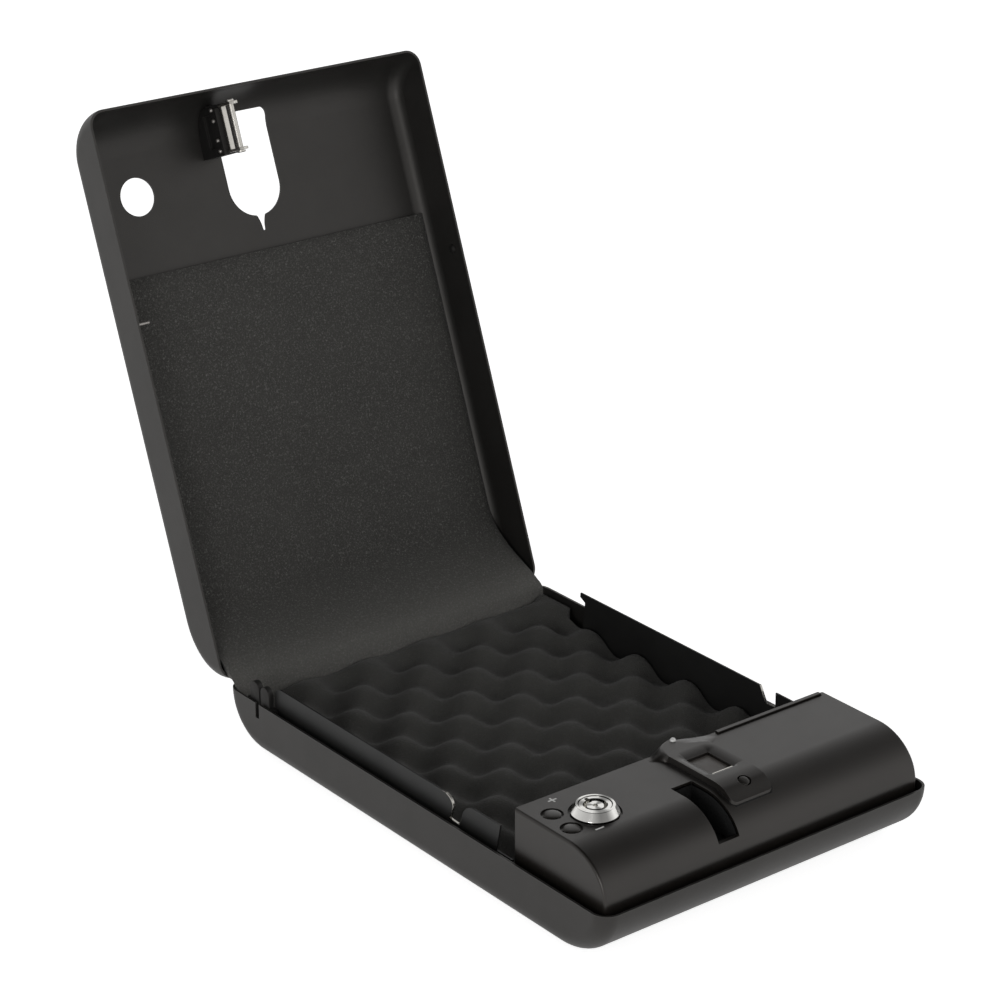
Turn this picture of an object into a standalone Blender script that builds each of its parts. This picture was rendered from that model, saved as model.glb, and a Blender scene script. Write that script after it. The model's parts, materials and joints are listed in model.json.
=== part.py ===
"""A small clam-shell gun safe with a fingerprint reader, standing open.

Every piece is drawn in millimetres from one datum, the middle of the front edge at rim height:
x to the right, y towards the hinge, z up. at() turns such a place into metres, with the origin on
the ground under the middle of the base. The lid's pieces are drawn shut and hang on an empty on
the hinge line, which stands them open.
"""

from math import atan2, cos, degrees, hypot, pi, radians, sin, sqrt

import bmesh
import bpy
from mathutils import Matrix, Vector

# Outer sizes, mm
LENGTH = 292.1
HALF_WIDTH = 100.6
BASE_DEPTH = 29.2
BASE_FRONT_ROUND = 31.9
BASE_REAR_ROUND = 28.1
BASE_EDGE = 8.4
BASE_RIM = -1.8
LID_LENGTH = 289.6
LID_HALF_WIDTH = 101.4
LID_DEPTH = 27.7
LID_FRONT_ROUND = 24.0
LID_REAR_ROUND = 31.8
LID_EDGE = 8.4
LID_RIM = 0.15
SHEET = 1.2
GAP = 0.3

# Hinge line and how far the lid stands open
HINGE_Y = 291.3
HINGE_Z = -1.8
OPEN_DEGREES = 111.3
KNUCKLE_RADIUS = 2.2
HINGE_PIN_RADIUS = 1.2
HINGE_FROM = 58.0
HINGE_TO = 90.0

# Control housing across the front of the base
HOUSING_HALF = 95.5
HOUSING_REAR = 69.2
HOUSING_TOP = 22.1
HOUSING_FOOT = -6.0
HOUSING_ROUND_Y = 31.0
HOUSING_FRONT = 5.3
HOUSING_WALL = 2.0
DOOR_LEFT = 25.0
DOOR_RIGHT = 92.0
DOOR_THICK = 2.4
DOOR_LIP = 23.0
SCREW_PLACES = [(-86.0, 32.0), (-48.0, 60.0), (24.0, 60.0), (84.0, 30.0)]

# Fingerprint reader and its raised bezel
BEZEL_HALF = 12.8
BEZEL_WING = 19.5
BEZEL_RISE = 3.1
BEZEL_LIP = 1.5
BEZEL_FRONT = 15.8
BEZEL_REAR = 74.0
WINDOW = (-6.7, 6.6, 36.2, 53.6)
WAKE_X = 1.5
WAKE_Y = 23.3
WAKE_TILT = 21.0
LED_Y = 71.2

# Key lock and the two set-up buttons
LOCK_X = -68.8
LOCK_Y = 44.5
LOCK_FLANGE = 11.25
LOCK_FACE = 8.8
LOCK_TOP = 26.2
LOCK_WELL = 12.25
PLUG_RADIUS = 7.6
ENROLL_PLACE = (-85.2, 54.7)
DELETE_PLACE = (-86.6, 39.5)
BUTTON_WELL = 5.25
BUTTON_RADIUS = 3.0

# Slot, striker and latch
SLOT = (-28.0, -15.5)
SLOT_REAR = 40.0
SLOT_FOOT = 8.0
ROD_X = -22.0
ROD_Z = -3.6
ROD_RADIUS = 1.5
LATCH_X = -33.0
LATCH_Z = -16.0
LATCH_DEGREES = 30.0
HOOK_Y = (19.0, 23.0)
SOLENOID_Z = -10.0
SOLENOID_Y = 21.0

# Studs on the lid's side walls
STUD_PLACE = (107.0, 8.0)
PIN_STUD_RADIUS = 0.95
PIN_STUD_END = 90.2
FLAT_STUD_RADIUS = 2.3
FLAT_STUD_END = 98.9

# Liner and foam
TRAY_HALF = 95.3
TRAY_SHEET = 1.0
TRAY_TOP = 9.0
TRAY_FRONT = 34.0
TRAY_REAR = 257.0
TRAY_FLOOR = -27.3
TRAY_UNDER_HOUSING = -6.6
TRAY_LEDGE = -4.8
FOAM_TOP = -7.0
FOAM_FRONT = 70.3
FOAM_HALF = 93.4
LID_FOAM_FRONT = 85.0
LID_FOAM_HALF = 94.0
LID_FOAM_THICK = 3.5

# Bolt-down holes through the base and the liner
BOLT_PLACES = [(-60.0, 120.0), (-60.0, 230.0), (60.0, 120.0), (60.0, 230.0)]
BOLT_HOLE = 3.5

ROUND = 32


def at(x, y, z):
    """The world place, in metres, of a datum place in millimetres."""
    return Vector((x, y - LENGTH / 2, z + BASE_DEPTH)) / 1000


def material(name, colour, roughness, metallic=0.0):
    made = bpy.data.materials.new(name)
    made.use_nodes = True
    shader = made.node_tree.nodes["Principled BSDF"]
    shader.inputs["Base Color"].default_value = (*colour, 1.0)
    shader.inputs["Roughness"].default_value = roughness
    shader.inputs["Metallic"].default_value = metallic
    made.diffuse_color = (*colour, 1.0)
    return made


def clear_scene():
    for old in list(bpy.data.objects):
        bpy.data.objects.remove(old, do_unlink=True)


def finished(bm):
    bmesh.ops.remove_doubles(bm, verts=bm.verts, dist=1e-7)
    bmesh.ops.recalc_face_normals(bm, faces=bm.faces)
    return bm


def mesh_object(name, bm, finish=None, parent=None):
    """A scene object from a mesh drawn in world places, kept there under its parent's rest frame."""
    mesh = bpy.data.meshes.new(name)
    bm.to_mesh(mesh)
    bm.free()
    mesh.shade_smooth()
    mesh.set_sharp_from_angle(angle=radians(30))
    made = bpy.data.objects.new(name, mesh)
    bpy.context.scene.collection.objects.link(made)
    if finish:
        mesh.materials.append(finish)
    if parent:
        made.parent = parent
        made.matrix_parent_inverse = Matrix.Translation(-parent.location)
    return made


def helper(name, bm, parent):
    made = mesh_object(name, bm, None, parent)
    made.hide_render = True
    made.display_type = "WIRE"
    return made


def combine(piece, bm, operation):
    """Add to, cut from or keep only part of a piece, by a Boolean with a hidden helper."""
    number = len(piece.modifiers) + 1
    tool = helper(f"{piece.name}_{operation.lower()}_{number}", bm, piece.parent)
    modifier = piece.modifiers.new(f"{operation.lower()}_{number}", "BOOLEAN")
    modifier.operation = operation
    modifier.solver = "EXACT"
    modifier.object = tool


def cut(piece, bm):
    combine(piece, bm, "DIFFERENCE")


def add(piece, bm):
    combine(piece, bm, "UNION")


def keep_inside(piece, bm):
    combine(piece, bm, "INTERSECT")


def placed(axis, across, up, along):
    """A datum place from an outline's two values and a place along the axis it is pushed along."""
    if axis == "x":
        return at(along, across, up)
    if axis == "y":
        return at(across, along, up)
    return at(across, up, along)


def prism(axis, outline, low, high):
    """A solid pushed along an axis. The outline is (y, z), (x, z) or (x, y) for axis x, y or z."""
    bm = bmesh.new()
    rings = [[bm.verts.new(placed(axis, a, b, end)) for a, b in outline] for end in (low, high)]
    count = len(outline)
    bm.faces.new(rings[0])
    bm.faces.new(rings[1])
    for i in range(count):
        j = (i + 1) % count
        bm.faces.new((rings[0][i], rings[0][j], rings[1][j], rings[1][i]))
    return finished(bm)


def block(x, y, z):
    outline = [(x[0], y[0]), (x[1], y[0]), (x[1], y[1]), (x[0], y[1])]
    return prism("z", outline, z[0], z[1])


def loft(rings):
    """A solid through closed rings of datum places that all have the same number of points."""
    bm = bmesh.new()
    drawn = [[bm.verts.new(at(*place)) for place in ring] for ring in rings]
    for near, far in zip(drawn, drawn[1:]):
        for i in range(len(near)):
            j = (i + 1) % len(near)
            bm.faces.new((near[i], near[j], far[j], far[i]))
    bm.faces.new(drawn[0])
    bm.faces.new(drawn[-1])
    return finished(bm)


def lathe(axis, centre, profile, steps=ROUND):
    """A turned solid: profile is (radius, place along the axis), centre the axis's other two values."""
    bm = bmesh.new()
    columns = []
    for k in range(steps):
        angle = 2 * pi * k / steps
        across = cos(angle)
        up = sin(angle)
        columns.append([
            bm.verts.new(placed(axis, centre[0] + r * across, centre[1] + r * up, along))
            for r, along in profile
        ])
    for k in range(steps):
        near = columns[k]
        far = columns[(k + 1) % steps]
        for i in range(len(profile) - 1):
            bm.faces.new((near[i], near[i + 1], far[i + 1], far[i]))
        if profile[0][0] > 0:
            bm.faces.new((near[-1], near[0], far[0], far[-1]))
    bmesh.ops.remove_doubles(bm, verts=bm.verts, dist=1e-7)
    bmesh.ops.dissolve_degenerate(bm, edges=bm.edges, dist=1e-8)
    return finished(bm)


def rod(axis, centre, radius, low, high, steps=ROUND):
    return lathe(axis, centre, [(0, low), (radius, low), (radius, high), (0, high)], steps)


def coil(axis, centre, radius, wire, low, high, turns, steps=14, sides=6):
    """A spring wound round an axis, with plain ends."""
    bm = bmesh.new()
    rings = []
    for k in range(turns * steps + 1):
        angle = 2 * pi * k / steps
        along = low + (high - low) * k / (turns * steps)
        ring = []
        for s in range(sides):
            turn = 2 * pi * s / sides
            r = radius + wire * cos(turn)
            place = placed(
                axis, centre[0] + r * cos(angle), centre[1] + r * sin(angle), along + wire * sin(turn)
            )
            ring.append(bm.verts.new(place))
        rings.append(ring)
    for near, far in zip(rings, rings[1:]):
        for i in range(sides):
            j = (i + 1) % sides
            bm.faces.new((near[i], near[j], far[j], far[i]))
    bm.faces.new(rings[0])
    bm.faces.new(rings[-1])
    return finished(bm)


def arc(centre, radii, start, end, steps, inset=0.0):
    """Points along an ellipse between two angles, moved inwards by the inset."""
    points = []
    for k in range(steps + 1):
        angle = radians(start + (end - start) * k / steps)
        across = cos(angle)
        up = sin(angle)
        slope = hypot(across / radii[0], up / radii[1])
        points.append((
            centre[0] + radii[0] * across - inset * across / radii[0] / slope,
            centre[1] + radii[1] * up - inset * up / radii[1] / slope,
        ))
    return points


def base_outline(inset):
    """The base's lengthwise section, (y, z), from the front rim round to the rear rim."""
    height = BASE_DEPTH + BASE_RIM
    front_centre = (BASE_FRONT_ROUND, BASE_RIM)
    rear_centre = (LENGTH - BASE_REAR_ROUND, BASE_RIM)
    front = arc(front_centre, (BASE_FRONT_ROUND, height), 180, 270, 10, inset)
    return front + arc(rear_centre, (BASE_REAR_ROUND, height), 270, 360, 10, inset)


def lid_outline(inset):
    height = LID_DEPTH - LID_RIM
    front_centre = (LID_FRONT_ROUND, LID_RIM)
    rear_centre = (LID_LENGTH - LID_REAR_ROUND, LID_RIM)
    front = arc(front_centre, (LID_FRONT_ROUND, height), 180, 90, 10, inset)
    return front + arc(rear_centre, (LID_REAR_ROUND, height), 90, 0, 10, inset)


def pan(outline, half_width, edge, inset, beyond):
    """A pan-shaped solid with rounded side edges. beyond carries its open side past the rim."""
    half = half_width - inset
    radius = edge - inset
    rings = []
    for side in (-1, 1):
        angles = [90 * k / 6 for k in range(7)]
        if side > 0:
            angles.reverse()
        for angle in angles:
            x = side * (half - radius + radius * cos(radians(angle)))
            ring = outline(inset + radius * (1 - sin(radians(angle))))
            if beyond:
                ring = ring + [(ring[-1][0], beyond), (ring[0][0], beyond)]
            rings.append([(x, y, z) for y, z in ring])
    return loft(rings)


def capsule(centre, radius, front):
    """The outline of a tongue: square at the front with small corners, half-round at the rear."""
    corner = 5.0
    left = arc((centre[0] - radius + corner, front + corner), (corner, corner), 180, 270, 4)
    right = arc((centre[0] + radius - corner, front + corner), (corner, corner), 270, 360, 4)
    return left + right + arc(centre, (radius, radius), 0, 180, 12)


def base_shell(finish):
    outer = pan(base_outline, HALF_WIDTH, BASE_EDGE, 0.0, None)
    shell = mesh_object("base_shell", outer, finish)
    cut(shell, pan(base_outline, HALF_WIDTH, BASE_EDGE, SHEET, 6.0))
    notch_foot = HINGE_Z - KNUCKLE_RADIUS - 0.6
    for side in (-1, 1):
        span = sorted((side * (HINGE_FROM - 0.6), side * (HINGE_TO + 0.6)))
        cut(shell, block(span, (LENGTH - 4.5, LENGTH + 3), (notch_foot, 3.0)))
    cut(shell, block((-HALF_WIDTH - 2, -HALF_WIDTH + 2), (263.5, 266.5), (-9.7, 3.0)))
    for x, y in SCREW_PLACES:
        low = -BASE_DEPTH - 0.1
        profile = [(0, low), (3.5, low), (2.0, low + 1.5), (2.0, low + 3), (0, low + 3)]
        cut(shell, lathe("z", (x, y), profile, 20))
    for place in BOLT_PLACES:
        cut(shell, rod("z", place, BOLT_HOLE, -BASE_DEPTH - 2, -BASE_DEPTH + 3, 20))
    return shell


def tray_section():
    """The liner's U-shaped cross-section, (x, z), before its side walls are cut to shape."""
    floor = TRAY_FLOOR
    outer = [(TRAY_HALF, TRAY_TOP), (TRAY_HALF, -24.0), (91.0, floor)]
    inner_half = TRAY_HALF - TRAY_SHEET
    inner = [(90.5, floor + TRAY_SHEET), (inner_half, -23.6), (inner_half, TRAY_TOP)]
    left_outer = [(-x, z) for x, z in reversed(outer)]
    left_inner = [(-x, z) for x, z in reversed(inner)]
    return outer + left_outer + left_inner + inner


def inner_tray(finish):
    """The liner. Its side walls drop under the housing and are notched for the lid's studs."""
    tray = mesh_object("inner_tray", prism("y", tray_section(), TRAY_FRONT, TRAY_REAR), finish)
    above = TRAY_TOP + 3
    left = (-TRAY_HALF - 2, -TRAY_HALF + 3)
    right = (TRAY_HALF - 3, TRAY_HALF + 2)
    behind = HOUSING_REAR + 1.3
    low_front = [(30, above), (30, TRAY_UNDER_HOUSING), (behind, TRAY_UNDER_HOUSING), (behind, TRAY_LEDGE)]
    cut(tray, prism("x", low_front + [(81.8, TRAY_LEDGE), (78.3, above)], *left))
    cut(tray, prism("x", low_front + [(86.2, TRAY_LEDGE), (88.0, above)], *right))
    left_notch = [(119.8, above)] + arc((119.8, 2.3), (6.7, 6.7), 90, 165, 5)
    left_notch += [(115.1, -1.5), (116.5, -3.1), (109.1, -3.6)]
    left_notch += arc((98.5, -1.0), (9.0, 10.0), 8, 90, 5) + [(98.5, above)]
    cut(tray, prism("x", left_notch, *left))
    right_notch = [(101.2, above), (100.9, 1.2), (107.3, 1.0), (114.2, above)]
    cut(tray, prism("x", right_notch, *right))
    rear_round = arc((251.5, 4.0), (5.5, 5.0), 90, 0, 6)
    cut(tray, prism("x", rear_round + [(260, 4), (260, above), (251.5, above)], *left))
    hook = [(260, above), (260, -12), (248, -12), (246.5, 4.5), (250.5, 6.5), (250.0, above)]
    cut(tray, prism("x", hook, *right))
    for x, y in SCREW_PLACES:
        if y > TRAY_FRONT:
            cut(tray, rod("z", (x, y), 2.0, TRAY_FLOOR - 2, TRAY_FLOOR + 3, 16))
    for place in BOLT_PLACES:
        cut(tray, rod("z", place, BOLT_HOLE, TRAY_FLOOR - 2, TRAY_FLOOR + 3, 20))
    return tray


def tongue(front, rear, top):
    """The round top of a tongue, as (y, z) points from its rear side to its front side."""
    middle = (front + rear) / 2
    radius = (rear - front) / 2
    return arc((middle, top - radius), (radius, radius), 0, 180, 6)


def lid_stop(finish):
    """The small upright bracket with two round-topped tongues at the rear left corner."""
    foot = -16.0
    shoulder = -2.0
    outline = [(254.0, foot), (276.0, foot), (276.0, shoulder), (273.5, shoulder)]
    outline += tongue(266.0, 273.5, 8.0)
    outline += [(266.0, -6.0), (264.8, -6.0)]
    outline += tongue(257.5, 264.8, 7.8)
    outline += [(257.5, shoulder), (254.0, shoulder)]
    return mesh_object("lid_stop_bracket", prism("x", outline, -98.6, -TRAY_HALF - GAP), finish)


def egg_crate(finish):
    foot = -26.0
    rear = [(262, foot), (271, -24.0), (277.5, -16.0), (278.3, FOAM_TOP)]
    outline = [(FOAM_FRONT, foot)] + rear + [(FOAM_FRONT, FOAM_TOP)]
    foam = mesh_object("egg_crate_foam", prism("x", outline, -FOAM_HALF, FOAM_HALF), finish)
    for side in (-1, 1):
        low = [(side * 95, -28), (side * 88, -28), (side * 95, -22)]
        cut(foam, prism("y", low, 60, 290))
    return foam


def foam_tail(finish):
    outline = [(279.5, -9.6), (283.0, -9.6), (288.0, -6.0), (287.6, -2.0), (284.5, -3.5)]
    return mesh_object("foam_tail", prism("x", outline, -56.0, 56.0), finish)


def housing_outline(inset):
    radii = (HOUSING_ROUND_Y - HOUSING_FRONT, HOUSING_TOP)
    curve = arc((HOUSING_ROUND_Y, 0.0), radii, 90, 180, 14, inset)
    foot = HOUSING_FOOT - 3 * inset
    start = [(HOUSING_FRONT + inset, foot), (HOUSING_REAR - inset, foot)]
    return start + [(HOUSING_REAR - inset, HOUSING_TOP - inset)] + curve


def housing_top(y):
    """Height of the housing's outer surface at a place y."""
    if y >= HOUSING_ROUND_Y:
        return HOUSING_TOP
    across = (HOUSING_ROUND_Y - y) / (HOUSING_ROUND_Y - HOUSING_FRONT)
    return HOUSING_TOP * sqrt(max(0.0, 1 - across * across))


def tilted(bm, y, z, degrees):
    """Turn a mesh about an x-wise line through a datum place."""
    pivot = at(0, y, z)
    turn = Matrix.Rotation(radians(degrees), 4, "X")
    bm.transform(Matrix.Translation(pivot) @ turn @ Matrix.Translation(-pivot))
    return bm


def wake_height():
    return housing_top(WAKE_Y) + BEZEL_RISE - 0.2


def wake_hole():
    height = wake_height()
    hole = rod("z", (WAKE_X, WAKE_Y), BUTTON_RADIUS + GAP, height - 14, height + 6, 24)
    return tilted(hole, WAKE_Y, height, WAKE_TILT)


def housing_cover(finish):
    outer = prism("x", housing_outline(0.0), -HOUSING_HALF, HOUSING_HALF)
    cover = mesh_object("housing_cover", outer, finish)
    inside = HOUSING_HALF - HOUSING_WALL
    cut(cover, prism("x", housing_outline(HOUSING_WALL), -inside, inside))
    for x, y in SCREW_PLACES:
        add(cover, rod("z", (x, y), 2.8, -25.8, HOUSING_TOP - 1.0, 16))
    for x, y in SCREW_PLACES:
        cut(cover, rod("z", (x, y), 1.5, -30.0, -10.0, 12))
    cut(cover, block(SLOT, (-5, SLOT_REAR), (SLOT_FOOT, 30)))
    floor = HOUSING_TOP - 1.2
    profile = [(0, 15), (9.9, 15), (9.9, floor), (LOCK_WELL, floor), (LOCK_WELL, 30), (0, 30)]
    cut(cover, lathe("z", (LOCK_X, LOCK_Y), profile, 40))
    for place in (ENROLL_PLACE, DELETE_PLACE):
        hole = BUTTON_RADIUS + GAP
        profile = [(0, 15), (hole, 15), (hole, floor), (BUTTON_WELL, floor), (BUTTON_WELL, 30), (0, 30)]
        cut(cover, lathe("z", place, profile, 28))
    cut(cover, block((WINDOW[0] - 0.3, WINDOW[1] + 0.3), (WINDOW[2] - 0.3, WINDOW[3] + 0.3), (15, 30)))
    cut(cover, wake_hole())
    cut(cover, block((DOOR_LEFT, DOOR_RIGHT), (HOUSING_REAR - DOOR_THICK - 0.3, 75), (0.0, 30)))
    return cover


def battery_door(finish):
    door = block(
        (DOOR_LEFT + GAP, DOOR_RIGHT - GAP),
        (HOUSING_REAR - DOOR_THICK, HOUSING_REAR),
        (GAP, DOOR_LIP),
    )
    door = mesh_object("battery_door", door, finish)
    middle = (DOOR_LEFT + DOOR_RIGHT) / 2
    cut(door, rod("y", (middle, HOUSING_TOP - 6), 5.0, HOUSING_REAR - 0.9, HOUSING_REAR + 3, 24))
    return door


def bezel_plan():
    """The raised tongue seen from above, with a flare each side where it meets the rear edge."""
    corner = 3.0
    half = BEZEL_HALF
    front_left = arc((-half + corner, BEZEL_FRONT + corner), (corner, corner), 180, 270, 4)
    front_right = arc((half - corner, BEZEL_FRONT + corner), (corner, corner), 270, 360, 4)
    tip = 16.0
    flare = 26.8
    tip_y = BEZEL_REAR - tip
    flare_y = HOUSING_REAR + 0.1 + flare
    meet = degrees(atan2(BEZEL_WING, flare_y - tip_y))
    right_flare = arc((BEZEL_WING, flare_y), (flare, flare), 270, 270 - meet, 5)
    rear = arc((0.0, tip_y), (tip, tip), 90 - meet, 90 + meet, 8)
    left_flare = arc((-BEZEL_WING, flare_y), (flare, flare), 270 + meet, 270, 5)
    side = [(half, 62.0), (half + 0.8, 66.0), (half + 3.0, 68.3), (BEZEL_WING, 68.9)]
    other_side = [(-x, y) for x, y in reversed(side)]
    return front_left + front_right + side + right_flare + rear + left_flare + other_side


def bezel_rise(y):
    """Height of the bezel over the housing: thin at its front lip, full from the wake button on."""
    share = min(1.0, max(0.0, (y - BEZEL_FRONT) / 7.0))
    return BEZEL_LIP + (BEZEL_RISE - BEZEL_LIP) * share


def sensor_bezel(finish):
    radii = (HOUSING_ROUND_Y - HOUSING_FRONT, HOUSING_TOP)
    centre = (HOUSING_ROUND_Y, 0.0)
    under = [p for p in arc(centre, radii, 90, 180, 14, -GAP) if p[0] > BEZEL_FRONT - 3]
    over = [(y, housing_top(y) + bezel_rise(y)) for y in (31, 29, 27, 25, 23, 21, 19, 17.4, 15.8, 14, 12)]
    outline = under[::-1] + [(BEZEL_REAR + 4, HOUSING_TOP + GAP)]
    outline += [(BEZEL_REAR + 4, HOUSING_TOP + BEZEL_RISE)] + over
    bezel = mesh_object("sensor_bezel", prism("x", outline, -BEZEL_WING, BEZEL_WING), finish)
    keep_inside(bezel, prism("z", bezel_plan(), 0, 60))
    top = HOUSING_TOP + BEZEL_RISE
    for side in (-1, 1):
        ramp = [(11.0, top + 0.1), (BEZEL_WING + 0.1, HOUSING_TOP + 0.8), (26.0, HOUSING_TOP + 0.8)]
        ramp += [(26.0, top + 5), (11.0, top + 5)]
        cut(bezel, prism("y", [(side * x, z) for x, z in ramp], 64.0, 90.0))
    spread = 4.4
    pocket = [
        [(WINDOW[0] - d, WINDOW[2], z), (WINDOW[1] + d, WINDOW[2], z),
         (WINDOW[1] + d, WINDOW[3] + d, z), (WINDOW[0] - d, WINDOW[3] + d, z)]
        for d, z in ((0.0, 15.0), (0.0, HOUSING_TOP + 1.6), (spread, top + 0.2), (spread, top + 3))
    ]
    cut(bezel, loft(pocket))
    cut(bezel, wake_hole())
    cut(bezel, rod("z", (0.0, LED_Y), 2.0, HOUSING_TOP - 2, top + 2, 20))
    return bezel


def lock(chrome, steel, dark, plug_axis):
    centre = (LOCK_X, LOCK_Y)
    seat = HOUSING_TOP - 1.2 + GAP
    bore = PLUG_RADIUS + GAP
    body = [
        (bore, 2.0), (9.5, 2.0), (9.5, seat), (LOCK_FLANGE, seat), (LOCK_FLANGE, seat + 1.6),
        (LOCK_FACE + 0.2, LOCK_TOP), (bore, LOCK_TOP),
    ]
    mesh_object("lock_body", lathe("z", centre, body, 40), chrome)
    nut = prism("z", [(LOCK_X + 13.6 * cos(radians(a)), LOCK_Y + 13.6 * sin(radians(a)))
                      for a in range(0, 360, 60)], 17.0, HOUSING_TOP - HOUSING_WALL - GAP)
    nut = mesh_object("lock_nut", nut, steel)
    cut(nut, rod("z", centre, 9.8, 10, 30, 40))
    top = LOCK_TOP - 0.3
    groove = top - 5.0
    face = [
        (0, 1.5), (PLUG_RADIUS, 1.5), (PLUG_RADIUS, top), (5.6, top), (5.6, groove), (4.0, groove),
        (4.0, top - 0.4), (1.2, top - 0.4), (1.2, top - 1.6), (0, top - 1.6),
    ]
    plug = mesh_object("lock_plug", lathe("z", centre, face, 40), chrome, plug_axis)
    notch = block((LOCK_X - 1.1, LOCK_X + 1.1), (LOCK_Y + 4.5, LOCK_Y + 7.0), (groove + 2, top + 2))
    cut(plug, notch)
    arm = arc((LOCK_X, LOCK_Y), (6.0, 6.0), 0, 180, 8)
    arm += arc((LOCK_X, LOCK_Y - 9.0), (4.0, 4.0), 180, 360, 8)
    cam = mesh_object("lock_cam", prism("z", arm, -0.6, 1.2), steel, plug_axis)
    cut(cam, rod("z", centre, 2.0, -3, 3, 16))
    head = [(0, -2.8), (3.2, -2.8), (3.2, -0.9), (1.6, -0.9), (1.6, 1.2), (0, 1.2)]
    mesh_object("cam_screw", lathe("z", centre, head, 16), dark, plug_axis)


def button(name, place, finish, axis_empty):
    top = HOUSING_TOP - 0.5
    profile = [
        (0, 15.5), (4.2, 15.5), (4.2, 17.0), (BUTTON_RADIUS, 17.0), (BUTTON_RADIUS, top - 0.7),
        (BUTTON_RADIUS - 0.6, top - 0.15), (BUTTON_RADIUS - 1.6, top), (0, top + 0.05),
    ]
    return mesh_object(name, lathe("z", place, profile, 28), finish, axis_empty)


def wake_button(finish, axis_empty):
    height = wake_height()
    profile = [
        (0, height - 9), (3.0, height - 9), (3.0, height - 0.5), (2.6, height - 0.1), (0, height),
    ]
    cap = tilted(lathe("z", (WAKE_X, WAKE_Y), profile, 28), WAKE_Y, height, WAKE_TILT)
    return mesh_object("wake_button", cap, finish, axis_empty)


def electronics(board, cell, tray, glass, clear):
    across = (WINDOW[0] + 0.1, WINDOW[1] - 0.1)
    deep = (WINDOW[2] + 0.1, WINDOW[3] - 0.1)
    mesh_object("fingerprint_sensor", block(across, deep, (17.0, HOUSING_TOP + 1.5)), glass)
    seat = HOUSING_TOP + 0.6
    dome = HOUSING_TOP + BEZEL_RISE
    lens = [(0, seat), (1.7, seat), (1.7, dome - 0.2), (1.1, dome + 0.25), (0, dome + 0.4)]
    mesh_object("led_lens", lathe("z", (0.0, LED_Y), lens, 20), clear)
    mesh_object("circuit_board", block((-14, 18), (30, 64), (12.0, 13.6)), board)
    holder = mesh_object("battery_tray", block((30, 88), (33.2, 66.2), (-21, 13.5)), tray)
    cut(holder, block((31.5, 86.5), (34.7, 70), (-19.5, 12.0)))
    cell_radius = 7.1
    places = [(42.3, -12.0), (57.6, -12.0), (42.3, 4.2), (57.6, 4.2)]
    for number, place in enumerate(places, 1):
        profile = [
            (0, 33.5), (cell_radius, 33.5), (cell_radius, 82.5), (2.7, 82.5), (2.7, 84.0), (0, 84.0),
        ]
        mesh_object(f"battery_{number}", lathe("x", place, profile, 24), cell)


def latch(steel, dark, coil_finish, latch_axis, plunger_axis):
    plate = block((-67, -26), (14.0, 28.0), (-22.4, -20.9))
    bracket = mesh_object("latch_bracket", plate, steel)
    for low, high in ((14.0, 15.5), (26.5, 28.0)):
        ear = [(-38.5, -21.8), (-27.5, -21.8), (-27.5, -16.0)]
        ear += arc((LATCH_X, LATCH_Z), (5.5, 4.5), 0, 180, 8)
        add(bracket, prism("y", ear, low, high))
        cut(bracket, rod("y", (LATCH_X, LATCH_Z), 2.3, low - 1, high + 1, 20))
    add(bracket, block((-60, -32), (26.8, 28.0), (-27.6, -21.5)))
    mesh_object("latch_pin", rod("y", (LATCH_X, LATCH_Z), 2.0, 13.0, 29.0, 20), dark)
    mesh_object("latch_spring", coil("y", (LATCH_X, LATCH_Z), 3.1, 0.45, 23.9, 25.6, 2), steel)
    outline = [
        (-29.5, -12.5), (-28.6, -2.0), (-24.3, -1.9), (-19.6, -1.9), (-19.6, -0.6), (-22.0, 1.6),
        (-29.0, 1.6), (-34.5, -3.0), (-36.6, -7.0), (-37.6, -14.0),
    ]
    outline += arc((LATCH_X, LATCH_Z), (4.6, 4.0), 190, 350, 8)
    hook = prism("y", outline, *HOOK_Y)
    pivot = at(LATCH_X, SOLENOID_Y, LATCH_Z)
    turn = Matrix.Rotation(radians(-LATCH_DEGREES), 4, "Y")
    hook.transform(Matrix.Translation(pivot) @ turn @ Matrix.Translation(-pivot))
    hook = mesh_object("latch_hook", hook, steel, latch_axis)
    cut(hook, rod("y", (LATCH_X, LATCH_Z), 2.3, HOOK_Y[0] - 1, HOOK_Y[1] + 1, 20))
    solenoid = mesh_object("solenoid", block((-66, -47), (13.5, 28.5), (-20.6, -1.5)), coil_finish)
    cut(solenoid, rod("x", (SOLENOID_Y, SOLENOID_Z), 2.8, -64, -40, 20))
    plunger = [(0, -60), (2.4, -60), (2.4, -44.5), (3.6, -44.5), (3.6, -43.4), (0, -43.4)]
    mesh_object("solenoid_plunger", lathe("x", (SOLENOID_Y, SOLENOID_Z), plunger, 20), steel, plunger_axis)


def screws(finish):
    low = -BASE_DEPTH + 0.1
    for number, place in enumerate(SCREW_PLACES, 1):
        profile = [(0, low), (3.0, low), (1.2, low + 1.6), (1.2, -12.0), (0, -12.0)]
        mesh_object(f"housing_screw_{number}", lathe("z", place, profile, 16), finish)


def hinge_span(side, low, high):
    return sorted((side * low, side * high))


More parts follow.
